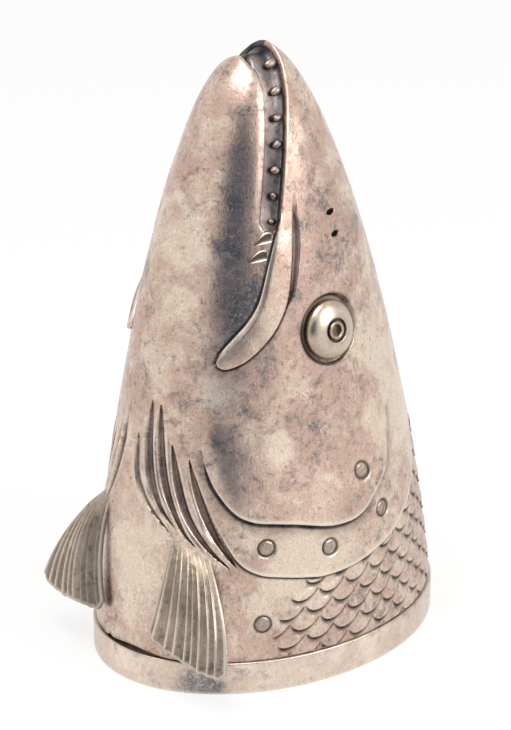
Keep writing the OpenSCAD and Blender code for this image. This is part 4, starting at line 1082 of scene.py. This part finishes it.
# Room: white to the lens, to reflections and glass, a softer grey as fill.
def makeRoom():
    world = bpy.data.worlds.new("studio_room")
    bpy.context.scene.world = world
    world.use_nodes = True
    tree = world.node_tree
    tree.nodes.clear()
    strength = addNode(tree, "MapRange", {"Value": seenRays(tree), "To Min": studio["fill"], "To Max": 1.0})
    light = addNode(tree, "Background", {"Color": (1, 1, 1, 1), "Strength": strength})
    addNode(tree, "OutputWorld", {"Surface": light})


# Soft box: a square lamp, turned from its place to the cup.
def makeLamp(name, place, size, power):
    lamp = bpy.data.lights.new(name, "AREA")
    lamp.size, lamp.energy = size, power
    made = bpy.data.objects.new(name, lamp)
    made.location = place
    aim = np.array(studio["aim"]) - np.array(place)
    made.rotation_euler = (math.acos(-aim[2]/np.linalg.norm(aim)), 0, math.atan2(aim[1], aim[0]) - math.pi/2)
    bpy.context.scene.collection.objects.link(made)


lens = {"azimuth": 48.11, "elevation": 22.97, "distance": 0.750, "focal": 3616.5, "tall": 730, "sensor": 36,
        "target": (0.0, 0.0, 0.058), "right": -0.001803, "up": 0.000548}


# Camera: at the photograph's angle, aimed a little beside the cup's middle.
def makeCamera():
    azimuth, elevation = math.radians(lens["azimuth"]), math.radians(lens["elevation"])
    right = np.array([math.cos(azimuth), math.sin(azimuth), 0])
    back = np.array([math.sin(azimuth)*math.cos(elevation), -math.cos(azimuth)*math.cos(elevation),
                     math.sin(elevation)])
    up = np.cross(back, right)
    place = np.array(lens["target"]) + lens["right"]*right + lens["up"]*up + lens["distance"]*back
    data = bpy.data.cameras.new("lens")
    data.sensor_width = lens["sensor"]
    data.lens = lens["focal"]/lens["tall"]*data.sensor_width
    camera = bpy.data.objects.new("lens", data)
    camera.matrix_world = mathutils.Matrix([(right[k], up[k], back[k], place[k]) for k in range(3)] + [(0, 0, 0, 1)])
    bpy.context.scene.collection.objects.link(camera)
    bpy.context.scene.camera = camera
    return right, back


# Dark end of the room behind the lens: seen only in the silver, as one dark stripe with soft sides.
def makeDarkEnd(right, back):
    level = np.array([back[0], back[1], 0])/np.hypot(back[0], back[1])
    middle, half = studio["behindAway"]*level, studio["behindHalf"]*right
    low, high = (0, 0, studio["behindLow"]), (0, 0, studio["behindHigh"])
    panel, tree = stagePanel("dark_end", [middle - half + low, middle + half + low, middle + half + high,
                                          middle - half + high], "cloth_matt_black")
    panel.visible_camera = panel.visible_diffuse = panel.visible_shadow = False
    place = addNode(tree, "TexCoord", out="Object")
    aside = addNode(tree, "VectorMath", {0: place, 1: tuple(right)}, "Value", operation="DOT_PRODUCT")
    aside = addNode(tree, "Math", {0: aside}, operation="ABSOLUTE")
    edge = addNode(tree, "MapRange", {"Value": aside, "From Min": studio["behindSoft"][0],
                                      "From Max": studio["behindHalf"], "To Max": studio["behindSoft"][1]},
                   interpolation_type="SMOOTHSTEP")
    shade = addNode(tree, "Mix", {0: edge, 6: linear(studio["behind"]), 7: (1, 1, 1, 1)}, 2, data_type="RGBA")
    addNode(tree, "OutputMaterial", {"Surface": addNode(tree, "Emission", {"Color": shade, "Strength": 1.0})})


makeFloor()
makeRoom()
makeDarkEnd(*makeCamera())
for lamp in studio["lamps"]:
    makeLamp(*lamp)
bpy.context.scene.view_settings.view_transform = "Standard"
print("stage: studio set")
